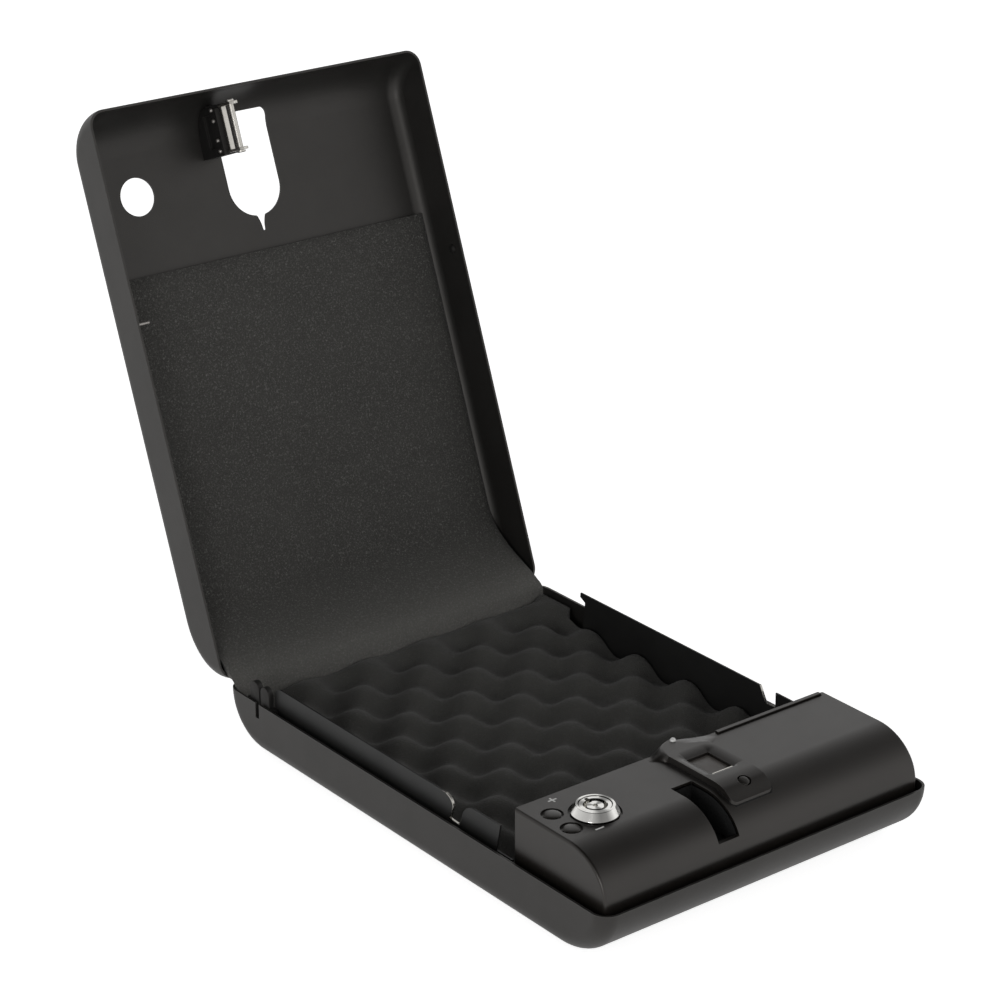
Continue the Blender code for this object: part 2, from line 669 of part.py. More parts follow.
def hinges(finish, spring_finish, lid_axis):
    """Two rolled hinges at the rear rim. Each has two knuckles on the base and one on the lid."""
    centre = (HINGE_Y, HINGE_Z)
    bore = HINGE_PIN_RADIUS + 0.25
    for side, word in ((-1, "left"), (1, "right")):
        base_side = [p for p in base_outline(1.5)[11:] if p[1] > -15]
        base_in = [p for p in base_outline(2.6)[11:] if p[1] > -15]
        leaf = base_side + base_in[::-1]
        base_leaf = mesh_object(
            f"base_hinge_leaf_{word}", prism("x", leaf, *hinge_span(side, HINGE_FROM, HINGE_TO)), finish
        )
        for low, high in ((HINGE_FROM, 66.0), (82.0, HINGE_TO)):
            span = hinge_span(side, low, high)
            add(base_leaf, rod("x", centre, KNUCKLE_RADIUS, *span, 20))
        cut(base_leaf, block(hinge_span(side, 66.0, 82.0), (LENGTH - 9, LENGTH + 9), (-4.7, 4.0)))
        cut(base_leaf, rod("x", centre, bore, *hinge_span(side, HINGE_FROM - 2, HINGE_TO + 2), 20))
        pin = rod("x", centre, HINGE_PIN_RADIUS, *hinge_span(side, HINGE_FROM - 0.3, HINGE_TO + 0.3), 16)
        mesh_object(f"hinge_pin_{word}", pin, finish)
        spring = coil("x", centre, 1.85, 0.35, *hinge_span(side, 67.0, 72.8), 4, 12, 6)
        mesh_object(f"hinge_spring_{word}", spring, spring_finish)
        lid_side = [p for p in lid_outline(1.5)[11:] if p[1] < 13]
        lid_in = [p for p in lid_outline(2.6)[11:] if p[1] < 13]
        strap = [p for p in reversed(lid_in)] + [p for p in lid_side]
        strap += [(HINGE_Y - 1.7, HINGE_Z + 1.5), (HINGE_Y - 1.7, HINGE_Z)]
        lid_leaf = mesh_object(
            f"lid_hinge_leaf_{word}", prism("x", strap, *hinge_span(side, 74.0, 81.4)), finish, lid_axis
        )
        span = hinge_span(side, 74.0, 81.4)
        add(lid_leaf, rod("x", centre, KNUCKLE_RADIUS, *span, 20))
        cut(lid_leaf, rod("x", centre, bore, *hinge_span(side, 72, 84), 20))


def lid_shell(finish, lid_axis):
    outer = pan(lid_outline, LID_HALF_WIDTH, LID_EDGE, 0.0, None)
    shell = mesh_object("lid_shell", outer, finish, lid_axis)
    cut(shell, pan(lid_outline, LID_HALF_WIDTH, LID_EDGE, SHEET, -6.0))
    cut(shell, rod("z", (LOCK_X - 0.5, LOCK_Y + 0.4), 9.75, 20, 35, 40))
    cut(shell, prism("z", capsule((0.0, 51.5), 15.7, 12.5), 15, 35))
    side = [(3.6, 63.0), (2.5, 67.6), (1.3, 70.5), (0.8, 74.2)]
    other_side = [(-x, y) for x, y in reversed(side)]
    tip = arc((0.0, 74.2), (0.8, 0.8), 30, 150, 4)
    cut(shell, prism("z", side + tip + other_side, 20, 35))
    return shell


def lid_foam(finish, lid_axis):
    skin = [p for p in lid_outline(SHEET + GAP)[11:] if p[1] > 13.0]
    inner = [p for p in lid_outline(SHEET + GAP + LID_FOAM_THICK)[11:] if p[1] > 12.0]
    top = LID_DEPTH - SHEET - GAP
    outline = [(LID_FOAM_FRONT, top - LID_FOAM_THICK), (LID_FOAM_FRONT, top)] + skin + inner[::-1]
    foam = prism("x", outline, -LID_FOAM_HALF, LID_FOAM_HALF)
    return mesh_object("lid_foam", foam, finish, lid_axis)


def striker(steel, dark, lid_axis):
    top = LID_DEPTH - SHEET - GAP
    profile = [(34.0, 5.2), (34.0, top), (24.0, top), (17.0, 24.4), (12.0, 21.8), (9.5, 18.8)]
    profile += [(8.0, 14.0), (8.0, 9.5), (10.0, 8.3), (10.0, 5.2)]
    mesh_object("striker_block", prism("x", profile, -26.5, -17.0), dark, lid_axis)
    front = 8.6
    rear = 33.4
    thick = 1.4
    channel = [
        (front, 4.8), (rear, 4.8), (rear, -9.0), (rear - thick, -9.0), (rear - thick, 3.3),
        (front + thick, 3.3), (front + thick, -9.0), (front, -9.0),
    ]
    bracket = mesh_object("striker_bracket", prism("x", channel, -25.5, -18.5), steel, lid_axis)
    for y in (front, rear - thick):
        cut(bracket, rod("y", (ROD_X, ROD_Z), ROD_RADIUS + 0.25, y - 1, y + thick + 1, 16))
    mesh_object("striker_rod", rod("y", (ROD_X, ROD_Z), ROD_RADIUS, 8.0, 34.0, 16), steel, lid_axis)
    for number, y in enumerate((10.5, 16.0, 26.0, 31.5), 1):
        head = [(0, -27.5), (0.9, -27.5), (1.3, -27.1), (1.3, -26.8), (0, -26.8)]
        mesh_object(f"striker_rivet_{number}", lathe("x", (y, 8.4), head, 12), steel, lid_axis)


def lid_studs(finish, lid_axis):
    """A thin pin on the lid's left wall and a flat rivet head facing it on the right wall."""
    wall = LID_HALF_WIDTH - SHEET - GAP
    pin = rod("x", STUD_PLACE, PIN_STUD_RADIUS, -wall, -PIN_STUD_END, 16)
    mesh_object("lid_stud_left", pin, finish, lid_axis)
    head = rod("x", STUD_PLACE, FLAT_STUD_RADIUS, FLAT_STUD_END, wall, 20)
    mesh_object("lid_stud_right", head, finish, lid_axis)


def axis_empty(name, place):
    made = bpy.data.objects.new(name, None)
    bpy.context.scene.collection.objects.link(made)
    made.location = place
    made.empty_display_size = 0.01
    return made


def build():
    clear_scene()
    powder = material("black_powder_coat", (0.055, 0.053, 0.050), 0.55)
    plastic = material("moulded_black_plastic", (0.045, 0.042, 0.038), 0.42)
    tray_black = material("black_steel_liner", (0.030, 0.030, 0.029), 0.5)
    chrome = material("chrome", (0.80, 0.80, 0.78), 0.15, 1.0)
    steel = material("bright_steel", (0.62, 0.62, 0.60), 0.3, 1.0)
    dark = material("blackened_steel", (0.02, 0.02, 0.02), 0.5, 0.6)
    crate = material("egg_crate_foam", (0.012, 0.012, 0.012), 0.95)
    felt = material("lid_foam_sheet", (0.030, 0.029, 0.028), 0.95)
    board = material("circuit_board", (0.02, 0.12, 0.05), 0.5)
    cell = material("battery_sleeve", (0.10, 0.10, 0.11), 0.4)
    glass = material("sensor_glass", (0.35, 0.35, 0.34), 0.15)
    clear = material("led_lens", (0.75, 0.75, 0.72), 0.2)
    copper = material("coil_tape", (0.35, 0.16, 0.05), 0.45)

    lid_axis = axis_empty("lid_axis", at(0, HINGE_Y, HINGE_Z))
    plug_axis = axis_empty("lock_plug_axis", at(LOCK_X, LOCK_Y, LOCK_TOP))
    latch_axis = axis_empty("latch_axis", at(LATCH_X, SOLENOID_Y, LATCH_Z))
    plunger_axis = axis_empty("plunger_axis", at(-50, SOLENOID_Y, SOLENOID_Z))
    enroll_axis = axis_empty("enroll_axis", at(*ENROLL_PLACE, HOUSING_TOP))
    delete_axis = axis_empty("delete_axis", at(*DELETE_PLACE, HOUSING_TOP))
    wake_axis = axis_empty("wake_axis", at(WAKE_X, WAKE_Y, wake_height()))

    base_shell(powder)
    inner_tray(tray_black)
    lid_stop(tray_black)
    egg_crate(crate)
    foam_tail(felt)
    housing_cover(plastic)
    battery_door(plastic)
    sensor_bezel(plastic)
    lock(chrome, steel, dark, plug_axis)
    button("enroll_button", ENROLL_PLACE, plastic, enroll_axis)
    button("delete_button", DELETE_PLACE, plastic, delete_axis)
    wake_button(plastic, wake_axis)
    electronics(board, cell, tray_black, glass, clear)
    latch(steel, dark, copper, latch_axis, plunger_axis)
    screws(dark)
    hinges(tray_black, steel, lid_axis)
    lid_shell(powder, lid_axis)
    lid_foam(felt, lid_axis)
    striker(steel, dark, lid_axis)
    lid_studs(steel, lid_axis)
    lid_axis.rotation_euler.x = radians(-OPEN_DEGREES)


build()
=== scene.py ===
"""Looks for the open gun safe: finer shells and mouldings, foam, materials, light and camera.

Places are drawn in millimetres from one datum, the middle of the base's front edge at rim height:
x to the right, y towards the hinge, z up. at() turns such a place into the frame's metres. The
lid's pieces are drawn shut and are then opened about the frame's own lid joint.
"""

import json
from math import cos, hypot, pi, radians, sin, sqrt

import bmesh
import bpy
import numpy as np
from mathutils import Matrix, Vector, noise


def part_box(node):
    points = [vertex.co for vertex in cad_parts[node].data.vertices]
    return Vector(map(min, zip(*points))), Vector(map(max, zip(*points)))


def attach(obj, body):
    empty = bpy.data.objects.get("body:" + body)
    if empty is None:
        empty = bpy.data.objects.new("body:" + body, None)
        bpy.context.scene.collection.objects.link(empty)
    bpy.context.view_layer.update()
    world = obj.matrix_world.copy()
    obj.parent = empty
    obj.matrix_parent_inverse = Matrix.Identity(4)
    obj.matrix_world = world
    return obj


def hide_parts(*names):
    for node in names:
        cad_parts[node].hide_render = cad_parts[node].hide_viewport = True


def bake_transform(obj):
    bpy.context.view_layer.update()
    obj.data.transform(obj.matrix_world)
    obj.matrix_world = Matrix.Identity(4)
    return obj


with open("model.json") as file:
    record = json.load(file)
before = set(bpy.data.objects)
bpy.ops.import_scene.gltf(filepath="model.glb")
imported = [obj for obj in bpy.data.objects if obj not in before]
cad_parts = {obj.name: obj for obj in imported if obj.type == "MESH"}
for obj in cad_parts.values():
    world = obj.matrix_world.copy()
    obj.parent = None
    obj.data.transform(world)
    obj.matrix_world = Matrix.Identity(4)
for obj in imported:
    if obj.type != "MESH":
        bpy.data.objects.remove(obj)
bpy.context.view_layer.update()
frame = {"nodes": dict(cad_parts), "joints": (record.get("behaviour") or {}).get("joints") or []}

MM = 0.001
BASE_LOW, BASE_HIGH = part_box("base_shell")
BASE_RIM = -1.8
LID_RIM = 0.15
LENGTH = (BASE_HIGH.y - BASE_LOW.y) / MM
HALF_WIDTH = BASE_HIGH.x / MM
LID_HALF_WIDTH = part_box("lid_shell")[1].x / MM
RIM_Z = BASE_HIGH.z - BASE_RIM * MM
LID_JOINT = next(j for j in frame["joints"] if j["name"] == "lid_hinge")
HINGE = Vector(LID_JOINT["pos_m"])
OPEN_ANGLE = radians(LID_JOINT["range_deg"][1])
OPENED = (
    Matrix.Translation(HINGE) @ Matrix.Rotation(-OPEN_ANGLE, 4, "X") @ Matrix.Translation(-HINGE)
)

# Shells
BASE_DEPTH = (RIM_Z - BASE_LOW.z) / MM
BASE_FRONT_ROUND = 31.9
BASE_REAR_ROUND = 28.1
BASE_EDGE = 8.4
LID_LENGTH = 289.6
LID_DEPTH = 27.7
LID_FRONT_ROUND = 24.0
LID_REAR_ROUND = 31.8
LID_EDGE = 8.4
SHEET = 1.2

# Control housing, bezel and lock
HOUSING_HALF = 95.5
HOUSING_REAR = 69.2
HOUSING_TOP = 22.1
HOUSING_FOOT = -6.0
HOUSING_END_ROUND = 1.5
HOUSING_ROUND_Y = 31.0
HOUSING_FRONT = 5.3
HOUSING_WALL = 2.0
DOOR = (25.0, 92.0)
DOOR_THICK = 2.4
DOOR_LIP = 23.0
SCREWS = [(-86.0, 32.0), (-48.0, 60.0), (24.0, 60.0), (84.0, 30.0)]
BOLTS = [(-60.0, 120.0), (-60.0, 230.0), (60.0, 120.0), (60.0, 230.0)]
BEZEL_LEFT = 12.1
BEZEL_RIGHT = 13.3
BEZEL_TIP_Y = 64.0
BEZEL_FLARE_Y = 59.0
BEZEL_FLARES = (6.6, 11.0)
BEZEL_LIP = 1.5
BEZEL_CORNER = 3.0
BEZEL_RISE = 3.1
BEZEL_FRONT = 15.8
BEZEL_REAR = 72.5
WINDOW = (-6.7, 6.6, 36.2, 53.6)
WINDOW_DIP = 1.2
WAKE = (1.5, 23.3)
WAKE_TILT = 21.0
LED_Y = 70.6
LOCK = (-68.8, 44.5)
LOCK_TOP = 26.2
LOCK_WELL = 12.25
ENROLL = (-85.2, 54.7)
DELETE = (-86.6, 39.5)
BUTTON_WELL = 5.25
SLOT = (-28.0, -15.5)
SLOT_REAR = 40.0
SLOT_FOOT = 8.0

# Light
FLOOR_SEEN = 0.80
FLOOR_GLOW = 0.44
FLOOR_SHADE = 0.4
SKY_LOW = 0.95
SKY_HIGH = 0.05
SKY_FRONT = 0.97
SKY_LEFT = 0.6
KEY_POWER = 3.0
KEY_PLACE = (-1.2, -0.75, 0.4)
KEY_TARGET = (0.0, 0.0, 0.05)
KEY_SIZE = (0.4, 0.5)

# Camera
AZIMUTH = 38.55
ELEVATION = 22.88
ROLL = 0.3
DISTANCE = 1.5066
SHIFT_RIGHT = -0.03355
SHIFT_UP = 0.1112
FOCAL_LENGTH = 112.15

# Foam
CRATE_TOP = -7.0
CRATE_SWING = 4.6
CRATE_PITCH = 38.0
CRATE_PHASE = (-4.9, -9.7)
FOAM_HALF = 93.2
FOAM_FRONT = 70.6
FOAM_REAR = 283.6
LID_FOAM_FRONT = 85.0
LID_FOAM_THICK = 3.5


def at(x, y, z):
    """The frame's place, in metres, of a datum place in millimetres."""
    return Vector((x * MM, BASE_LOW.y + y * MM, RIM_Z + z * MM))


# ---------------- materials


def add_node(tree, kind, settings=None, **inputs):
    """A node with its settings and inputs. An input named i0 or i1 is given by its number."""
    made = tree.nodes.new(kind)
    for key, value in (settings or {}).items():
        setattr(made, key, value)
    for key, value in inputs.items():
        numbered = key[0] == "i" and key[1:].isdigit()
        socket = made.inputs[int(key[1:]) if numbered else key.replace("_", " ")]
        if isinstance(value, bpy.types.NodeSocket):
            tree.links.new(value, socket)
        else:
            socket.default_value = value
    return made


def new_material(name):
    made = bpy.data.materials.new(name)
    made.use_nodes = True
    tree = made.node_tree
    shader = tree.nodes["Principled BSDF"]
    place = add_node(tree, "ShaderNodeTexCoord").outputs["Object"]
    return made, tree, shader, place


def rgb(colour):
    return (*colour, 1.0)


def noise_of(tree, place, scale, detail=3.0, rough=0.5):
    return add_node(
        tree, "ShaderNodeTexNoise", Vector=place, Scale=scale, Detail=detail, Roughness=rough
    ).outputs["Fac"]


def ramp(tree, value, low, high, to_low=0.0, to_high=1.0):
    ends = {"From_Min": low, "From_Max": high, "To_Min": to_low, "To_Max": to_high}
    return add_node(tree, "ShaderNodeMapRange", {"clamp": True}, Value=value, **ends).outputs["Result"]


def mixed(tree, share, first, second):
    ends = [end if isinstance(end, bpy.types.NodeSocket) else rgb(end) for end in (first, second)]
    made = add_node(tree, "ShaderNodeMix", {"data_type": "RGBA"}, Factor=share, i6=ends[0], i7=ends[1])
    return made.outputs[2]


def maths(tree, operation, first, second=0.0):
    return add_node(tree, "ShaderNodeMath", {"operation": operation}, i0=first, i1=second).outputs[0]


def product(tree, first, second):
    return maths(tree, "MULTIPLY", first, second)


def total(tree, first, second):
    return maths(tree, "ADD", first, second)


def vector_maths(tree, operation, first, second=(0.0, 0.0, 0.0)):
    return add_node(tree, "ShaderNodeVectorMath", {"operation": operation}, i0=first, i1=second).outputs


def parts_of(tree, vector):
    return add_node(tree, "ShaderNodeSeparateXYZ", Vector=vector).outputs


def by_camera(tree, unseen, seen):
    """One strength for what the camera sees and another for what lights the safe."""
    share = add_node(tree, "ShaderNodeLightPath").outputs["Is Camera Ray"]
    made = add_node(tree, "ShaderNodeMix", {"data_type": "FLOAT"}, Factor=share, i2=unseen, i3=seen)
    return made.outputs[0]


def bump(tree, height, depth, strength=1.0):
    made = add_node(tree, "ShaderNodeBump", Height=height, Distance=depth, Strength=strength)
    return made.outputs["Normal"]


def edge_mask(tree, radius):
    """Near 1 on convex and concave edges, from how far a rounded normal turns from the true one."""
    rounded = add_node(tree, "ShaderNodeBevel", {"samples": 4}, Radius=radius).outputs["Normal"]
    true = add_node(tree, "ShaderNodeNewGeometry").outputs["Normal"]
    same = vector_maths(tree, "DOT_PRODUCT", rounded, true)["Value"]
    return ramp(tree, same, 0.99, 0.80)


def scaled(colour, share):
    return tuple(c * share for c in colour)


def coated(name, colour, roughness, grain, depth, edge, wear_highlight_colour, shine=0.5):
    """Painted steel or moulded plastic: fine grain, soft unevenness, and slightly paler edges, partly wear
    and partly a painted highlight along rims and rounded edges.
    """
    made, tree, shader, place = new_material(name)
    broad = noise_of(tree, place, 22.0, 4.0, 0.6)
    fine = noise_of(tree, place, grain, 5.0, 0.65)
    base = mixed(tree, ramp(tree, broad, 0.35, 0.65), scaled(colour, 0.86), scaled(colour, 1.14))
    base = mixed(tree, ramp(tree, fine, 0.55, 0.75, 0.0, 0.45), base, scaled(colour, 1.6))
    # Paler edges: partly wear, partly a painted highlight where light catches rims and rounded edges.
    rubbed = ramp(tree, noise_of(tree, place, 180.0), 0.3, 0.6, 0.3, 1.0)
    wear_and_highlight = product(tree, edge_mask(tree, 0.0006), rubbed)
    base = mixed(tree, product(tree, wear_and_highlight, edge), base, wear_highlight_colour)
    tree.links.new(base, shader.inputs["Base Color"])
    smudge = noise_of(tree, place, 60.0, 5.0, 0.7)
    rough = ramp(tree, smudge, 0.3, 0.7, roughness - 0.025, roughness + 0.03)
    tree.links.new(rough, shader.inputs["Roughness"])
    shader.inputs["Specular IOR Level"].default_value = shine
    shader.inputs["Specular Tint"].default_value = (1.0, 0.96, 0.92, 1.0)
    tree.links.new(bump(tree, fine, depth), shader.inputs["Normal"])
    return made


def metal(name, colour, roughness, stretch=(1.0, 1.0, 1.0)):
    """Bright metal with fine directional scratches and a little darker tarnish."""
    made, tree, shader, place = new_material(name)
    drawn = add_node(tree, "ShaderNodeMapping", Vector=place, Scale=stretch).outputs["Vector"]
    lines = noise_of(tree, drawn, 900.0, 4.0, 0.6)
    patches = noise_of(tree, place, 120.0, 4.0, 0.6)
    base = mixed(tree, ramp(tree, patches, 0.45, 0.75, 0.0, 0.35), colour, scaled(colour, 0.45))
    tree.links.new(base, shader.inputs["Base Color"])
    shader.inputs["Metallic"].default_value = 1.0
    rough = ramp(tree, total(tree, lines, patches), 0.6, 1.4, roughness * 0.7, roughness * 1.5)
    tree.links.new(rough, shader.inputs["Roughness"])
    tree.links.new(bump(tree, lines, 0.00002), shader.inputs["Normal"])
    return made


def turned(name, colour, roughness, centre):
    """Chrome turned on a lathe: fine rings about a vertical axis through the centre, and dark bands by
    angle round it, a painted bow-tie reflection of the turned finish.
    """
    made, tree, shader, place = new_material(name)
    moved = vector_maths(tree, "SUBTRACT", place, centre)[0]
    flat = vector_maths(tree, "MULTIPLY", moved, (1, 1, 0))[0]
    radius = vector_maths(tree, "LENGTH", flat)["Value"]
    wave = maths(tree, "SINE", product(tree, radius, 26000.0))
    parts = parts_of(tree, flat)
    angle = maths(tree, "ARCTAN2", parts["Y"], parts["X"])
    # Painted reflection: dark bands by angle in the colour, standing in for the turned finish's highlights.
    painted_reflection_bands = maths(tree, "SINE", total(tree, product(tree, angle, 3.0), 0.9))
    patches = noise_of(tree, place, 220.0, 4.0, 0.6)
    base = mixed(tree, ramp(tree, patches, 0.5, 0.8, 0.0, 0.25), colour, scaled(colour, 0.55))
    base = mixed(tree, ramp(tree, painted_reflection_bands, -0.1, 0.9, 0.0, 0.85), base, scaled(colour, 0.16))
    tree.links.new(base, shader.inputs["Base Color"])
    shader.inputs["Metallic"].default_value = 1.0
    rough = ramp(tree, patches, 0.3, 0.7, roughness * 0.7, roughness * 1.5)
    tree.links.new(rough, shader.inputs["Roughness"])
    tree.links.new(bump(tree, wave, 0.000004, 0.5), shader.inputs["Normal"])
    return made


def foam(name, colour, fleck, cell, depth, fleck_share, fuzz, fleck_from, lit_band_gain=1.0):
    """Open-cell foam: small dark cells, paler flecks and a soft fuzz. lift pales it towards the rim height:
    a painted lit band near the rim, where the sheet turns over into the base.
    """
    made, tree, shader, place = new_material(name)
    cells = add_node(tree, "ShaderNodeTexVoronoi", Vector=place, Scale=cell).outputs["Distance"]
    grit = noise_of(tree, place, cell * 0.8, 5.0, 0.75)
    blotch = noise_of(tree, place, 28.0, 4.0, 0.6)
    base = mixed(tree, ramp(tree, cells, 0.15, 0.75), scaled(colour, 0.75), scaled(colour, 1.2))
    base = mixed(tree, ramp(tree, blotch, 0.35, 0.7, 0.0, 0.35), base, scaled(colour, 1.35))
    # Painted light: paler towards the rim height, standing in for light falling on the foam's fold.
    low = ramp(tree, parts_of(tree, place)["Z"], RIM_Z + 30 * MM, RIM_Z + 1 * MM)
    paler = product(tree, product(tree, low, low), ramp(tree, grit, 0.35, 0.6, 0.7, 1.0))
    base = mixed(tree, paler, base, scaled(colour, lit_band_gain))
    base = mixed(tree, ramp(tree, grit, fleck_from, fleck_from + 0.16, 0.0, fleck_share), base, fleck)
    tree.links.new(base, shader.inputs["Base Color"])
    shader.inputs["Roughness"].default_value = 0.97
    shader.inputs["Specular IOR Level"].default_value = 0.15
    shader.inputs["Sheen Weight"].default_value = fuzz
    shader.inputs["Sheen Roughness"].default_value = 0.45
    height = total(tree, product(tree, cells, 0.8), grit)
    tree.links.new(bump(tree, height, depth), shader.inputs["Normal"])
    return made


def plain(name, colour, roughness, grain, coat=0.0):
    """A small part's material, with fine grain and uneven gloss."""
    made, tree, shader, place = new_material(name)
    fine = noise_of(tree, place, grain, 4.0, 0.6)
    base = mixed(tree, ramp(tree, fine, 0.35, 0.7), scaled(colour, 0.85), scaled(colour, 1.15))
    tree.links.new(base, shader.inputs["Base Color"])
    rough = ramp(tree, fine, 0.3, 0.7, roughness * 0.8, roughness * 1.2)
    tree.links.new(rough, shader.inputs["Roughness"])
    shader.inputs["Coat Weight"].default_value = coat
    tree.links.new(bump(tree, fine, 0.00002), shader.inputs["Normal"])
    return made


def liner_paint(name, colour, bare_places):
    """Black painted sheet steel, rubbed to bare metal round the places given."""
    made, tree, shader, place = new_material(name)
    fine = noise_of(tree, place, 900.0, 4.0, 0.6)
    broad = noise_of(tree, place, 30.0, 4.0, 0.6)
    base = mixed(tree, ramp(tree, broad, 0.35, 0.65), scaled(colour, 0.8), scaled(colour, 1.25))
    chips = ramp(tree, noise_of(tree, place, 420.0, 6.0, 0.75), 0.44, 0.56)
    edges = edge_mask(tree, 0.0005)
    bare = 0.0
    for spot, reach in bare_places:
        gap = vector_maths(tree, "DISTANCE", place, spot)["Value"]
        near = ramp(tree, gap, reach, reach * 0.35)
        bare = total(tree, bare, product(tree, near, chips))
    bare = product(tree, ramp(tree, bare, 0.0, 0.5), ramp(tree, edges, 0.02, 0.2))
    base = mixed(tree, bare, base, (0.55, 0.53, 0.48))
    tree.links.new(base, shader.inputs["Base Color"])
    tree.links.new(ramp(tree, bare, 0.0, 1.0, 0.5, 0.28), shader.inputs["Roughness"])
    tree.links.new(product(tree, bare, 0.9), shader.inputs["Metallic"])
    tree.links.new(bump(tree, fine, 0.00003), shader.inputs["Normal"])
    return made


# Each finish's last colour is its paler edge colour: partly wear, partly a painted edge highlight.
POWDER = coated(
    "powder_coat", (0.0165, 0.0158, 0.0148), 0.42, 1500.0, 0.00005, 0.6, (0.11, 0.108, 0.102)
)
PLASTIC = coated(
    "housing_plastic", (0.0085, 0.0072, 0.0062), 0.32, 2400.0, 0.00002, 0.5, (0.05, 0.047, 0.043), 0.62
)
DARK_STEEL = coated(
    "blackened_steel", (0.004, 0.004, 0.004), 0.6, 1200.0, 0.00003, 0.2, (0.0128, 0.0128, 0.0128)
)
CHROME = turned("turned_chrome", (0.86, 0.85, 0.82), 0.13, at(*LOCK, LOCK_TOP))
STEEL = metal("bright_steel", (0.60, 0.58, 0.54), 0.24, (1.0, 0.08, 1.0))
RIVET = metal("rivet_steel", (0.42, 0.40, 0.38), 0.38)
CRATE = foam(
    "egg_crate_foam", (0.062, 0.061, 0.057), (0.15, 0.147, 0.14), 1500.0, 0.00025, 0.5, 0.14, 0.55
)
# The sheet's last number, 2.7, paints a lit band on it near the rim.
SHEET_FOAM = foam(
    "lid_foam_sheet", (0.046, 0.045, 0.042), (0.18, 0.176, 0.168), 1300.0, 0.00025, 0.8, 0.1, 0.53, 2.7
)
RUBBED = [
    (at(-95, 118, 3), 0.006), (at(-95, 118, 8), 0.0045), (at(-95, 110, -2), 0.006),
    (at(-95, 102, 0), 0.004), (at(95, 110.8, 6), 0.005), (at(95, 104, 1.5), 0.004),
]
LINER = liner_paint("liner_paint", (0.012, 0.012, 0.0115), RUBBED)
GLASS = plain("sensor_glass", (0.085, 0.075, 0.066), 0.45, 120.0)
LENS = plain("led_lens", (0.80, 0.80, 0.78), 0.22, 500.0, 0.5)
BOARD = plain("circuit_board", (0.02, 0.10, 0.045), 0.45, 900.0)
CELL = plain("battery_sleeve", (0.09, 0.09, 0.10), 0.35, 300.0, 0.4)
TAPE = plain("coil_tape", (0.34, 0.17, 0.05), 0.4, 500.0)
INK = plain("printed_ink", (0.82, 0.82, 0.80), 0.55, 1500.0)
# Near-black matte paint for pieces that stand in for shade: painted shade in the striker's slot and a
# painted shadow line round the bezel.
SHADE_BLACK = plain("painted_shade_black", (0.004, 0.004, 0.004), 0.9, 700.0)


# ---------------- mesh tools


def tidy(bm):
    bmesh.ops.remove_doubles(bm, verts=bm.verts, dist=1e-7)
    bmesh.ops.recalc_face_normals(bm, faces=bm.faces)
    return bm


def object_of(name, bm):
    mesh = bpy.data.meshes.new(name)
    bm.to_mesh(mesh)
    bm.free()
    made = bpy.data.objects.new(name, mesh)
    bpy.context.scene.collection.objects.link(made)
    return made


def settle(made, sharp=32.0):
    """Apply every modifier and shade smooth up to the sharp angle."""
    graph = bpy.context.evaluated_depsgraph_get()
    mesh = bpy.data.meshes.new_from_object(made.evaluated_get(graph))
    made.modifiers.clear()
    made.data = mesh
    mesh.shade_smooth()
    mesh.set_sharp_from_angle(angle=radians(sharp))


def weigh_normals(made):
    """Let large flat faces set the shading at their borders, so that they stay evenly lit."""
    modifier = made.modifiers.new("weigh", "WEIGHTED_NORMAL")
    modifier.mode = "FACE_AREA"
    modifier.weight = 60
    modifier.keep_sharp = True


def piece(name, bm, finish, body, stands_for=(), cuts=(), adds=(), bevel=0.0, sharp=32.0, flat=0.5):
    """A finished piece of the safe: its Booleans and edge rounding applied, riding on a body."""
    made = object_of(name, bm)
    tools = []
    for operation, shapes in (("UNION", adds), ("DIFFERENCE", cuts)):
        for shape in shapes:
            tool = object_of(name + "_tool", shape)
            tools.append(tool)
            modifier = made.modifiers.new("join", "BOOLEAN")
            modifier.operation = operation
            modifier.solver = "EXACT"
            modifier.object = tool
    if tools:
        settle(made, sharp)
    for tool in tools:
        bpy.data.objects.remove(tool)
    if bevel:
        clean = bmesh.new()
        clean.from_mesh(made.data)
        bmesh.ops.remove_doubles(clean, verts=clean.verts, dist=2e-6)
        bmesh.ops.dissolve_limit(
            clean, angle_limit=radians(flat), verts=clean.verts, edges=clean.edges
        )
        clean.to_mesh(made.data)
        clean.free()
        modifier = made.modifiers.new("round", "BEVEL")
        modifier.width = bevel * MM
        modifier.segments = 2
        modifier.limit_method = "ANGLE"
        modifier.angle_limit = radians(34)
        modifier.miter_outer = "MITER_ARC"
    settle(made, sharp)
    weigh_normals(made)
    if body == "lid":
        made.data.transform(OPENED)
    made.data.materials.clear()
    made.data.materials.append(finish)
    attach(made, body)
    if stands_for:
        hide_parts(*stands_for)
    return made


def placed(axis, across, up, along):
    if axis == "x":
        return at(along, across, up)
    if axis == "y":
        return at(across, along, up)
    return at(across, up, along)


def prism(axis, outline, low, high):
    """A solid pushed along an axis. The outline is (y, z), (x, z) or (x, y) for axis x, y or z."""
    bm = bmesh.new()
    rings = [[bm.verts.new(placed(axis, a, b, end)) for a, b in outline] for end in (low, high)]
    bm.faces.new(rings[0])
    bm.faces.new(rings[1])
    for i in range(len(outline)):
        j = (i + 1) % len(outline)
        bm.faces.new((rings[0][i], rings[0][j], rings[1][j], rings[1][i]))
    return tidy(bm)


def block(x, y, z):
    return prism("z", [(x[0], y[0]), (x[1], y[0]), (x[1], y[1]), (x[0], y[1])], z[0], z[1])


def skin(rings):
    """A solid through rings of points, with the first and last ring capped."""
    bm = bmesh.new()
    rows = [[bm.verts.new(p) for p in ring] for ring in rings]
    count = len(rows[0])
    for near, far in zip(rows, rows[1:]):
        for i in range(count):
            j = (i + 1) % count
            bm.faces.new((near[i], near[j], far[j], far[i]))
    bm.faces.new(rows[0])
    bm.faces.new(rows[-1])
    return tidy(bm)


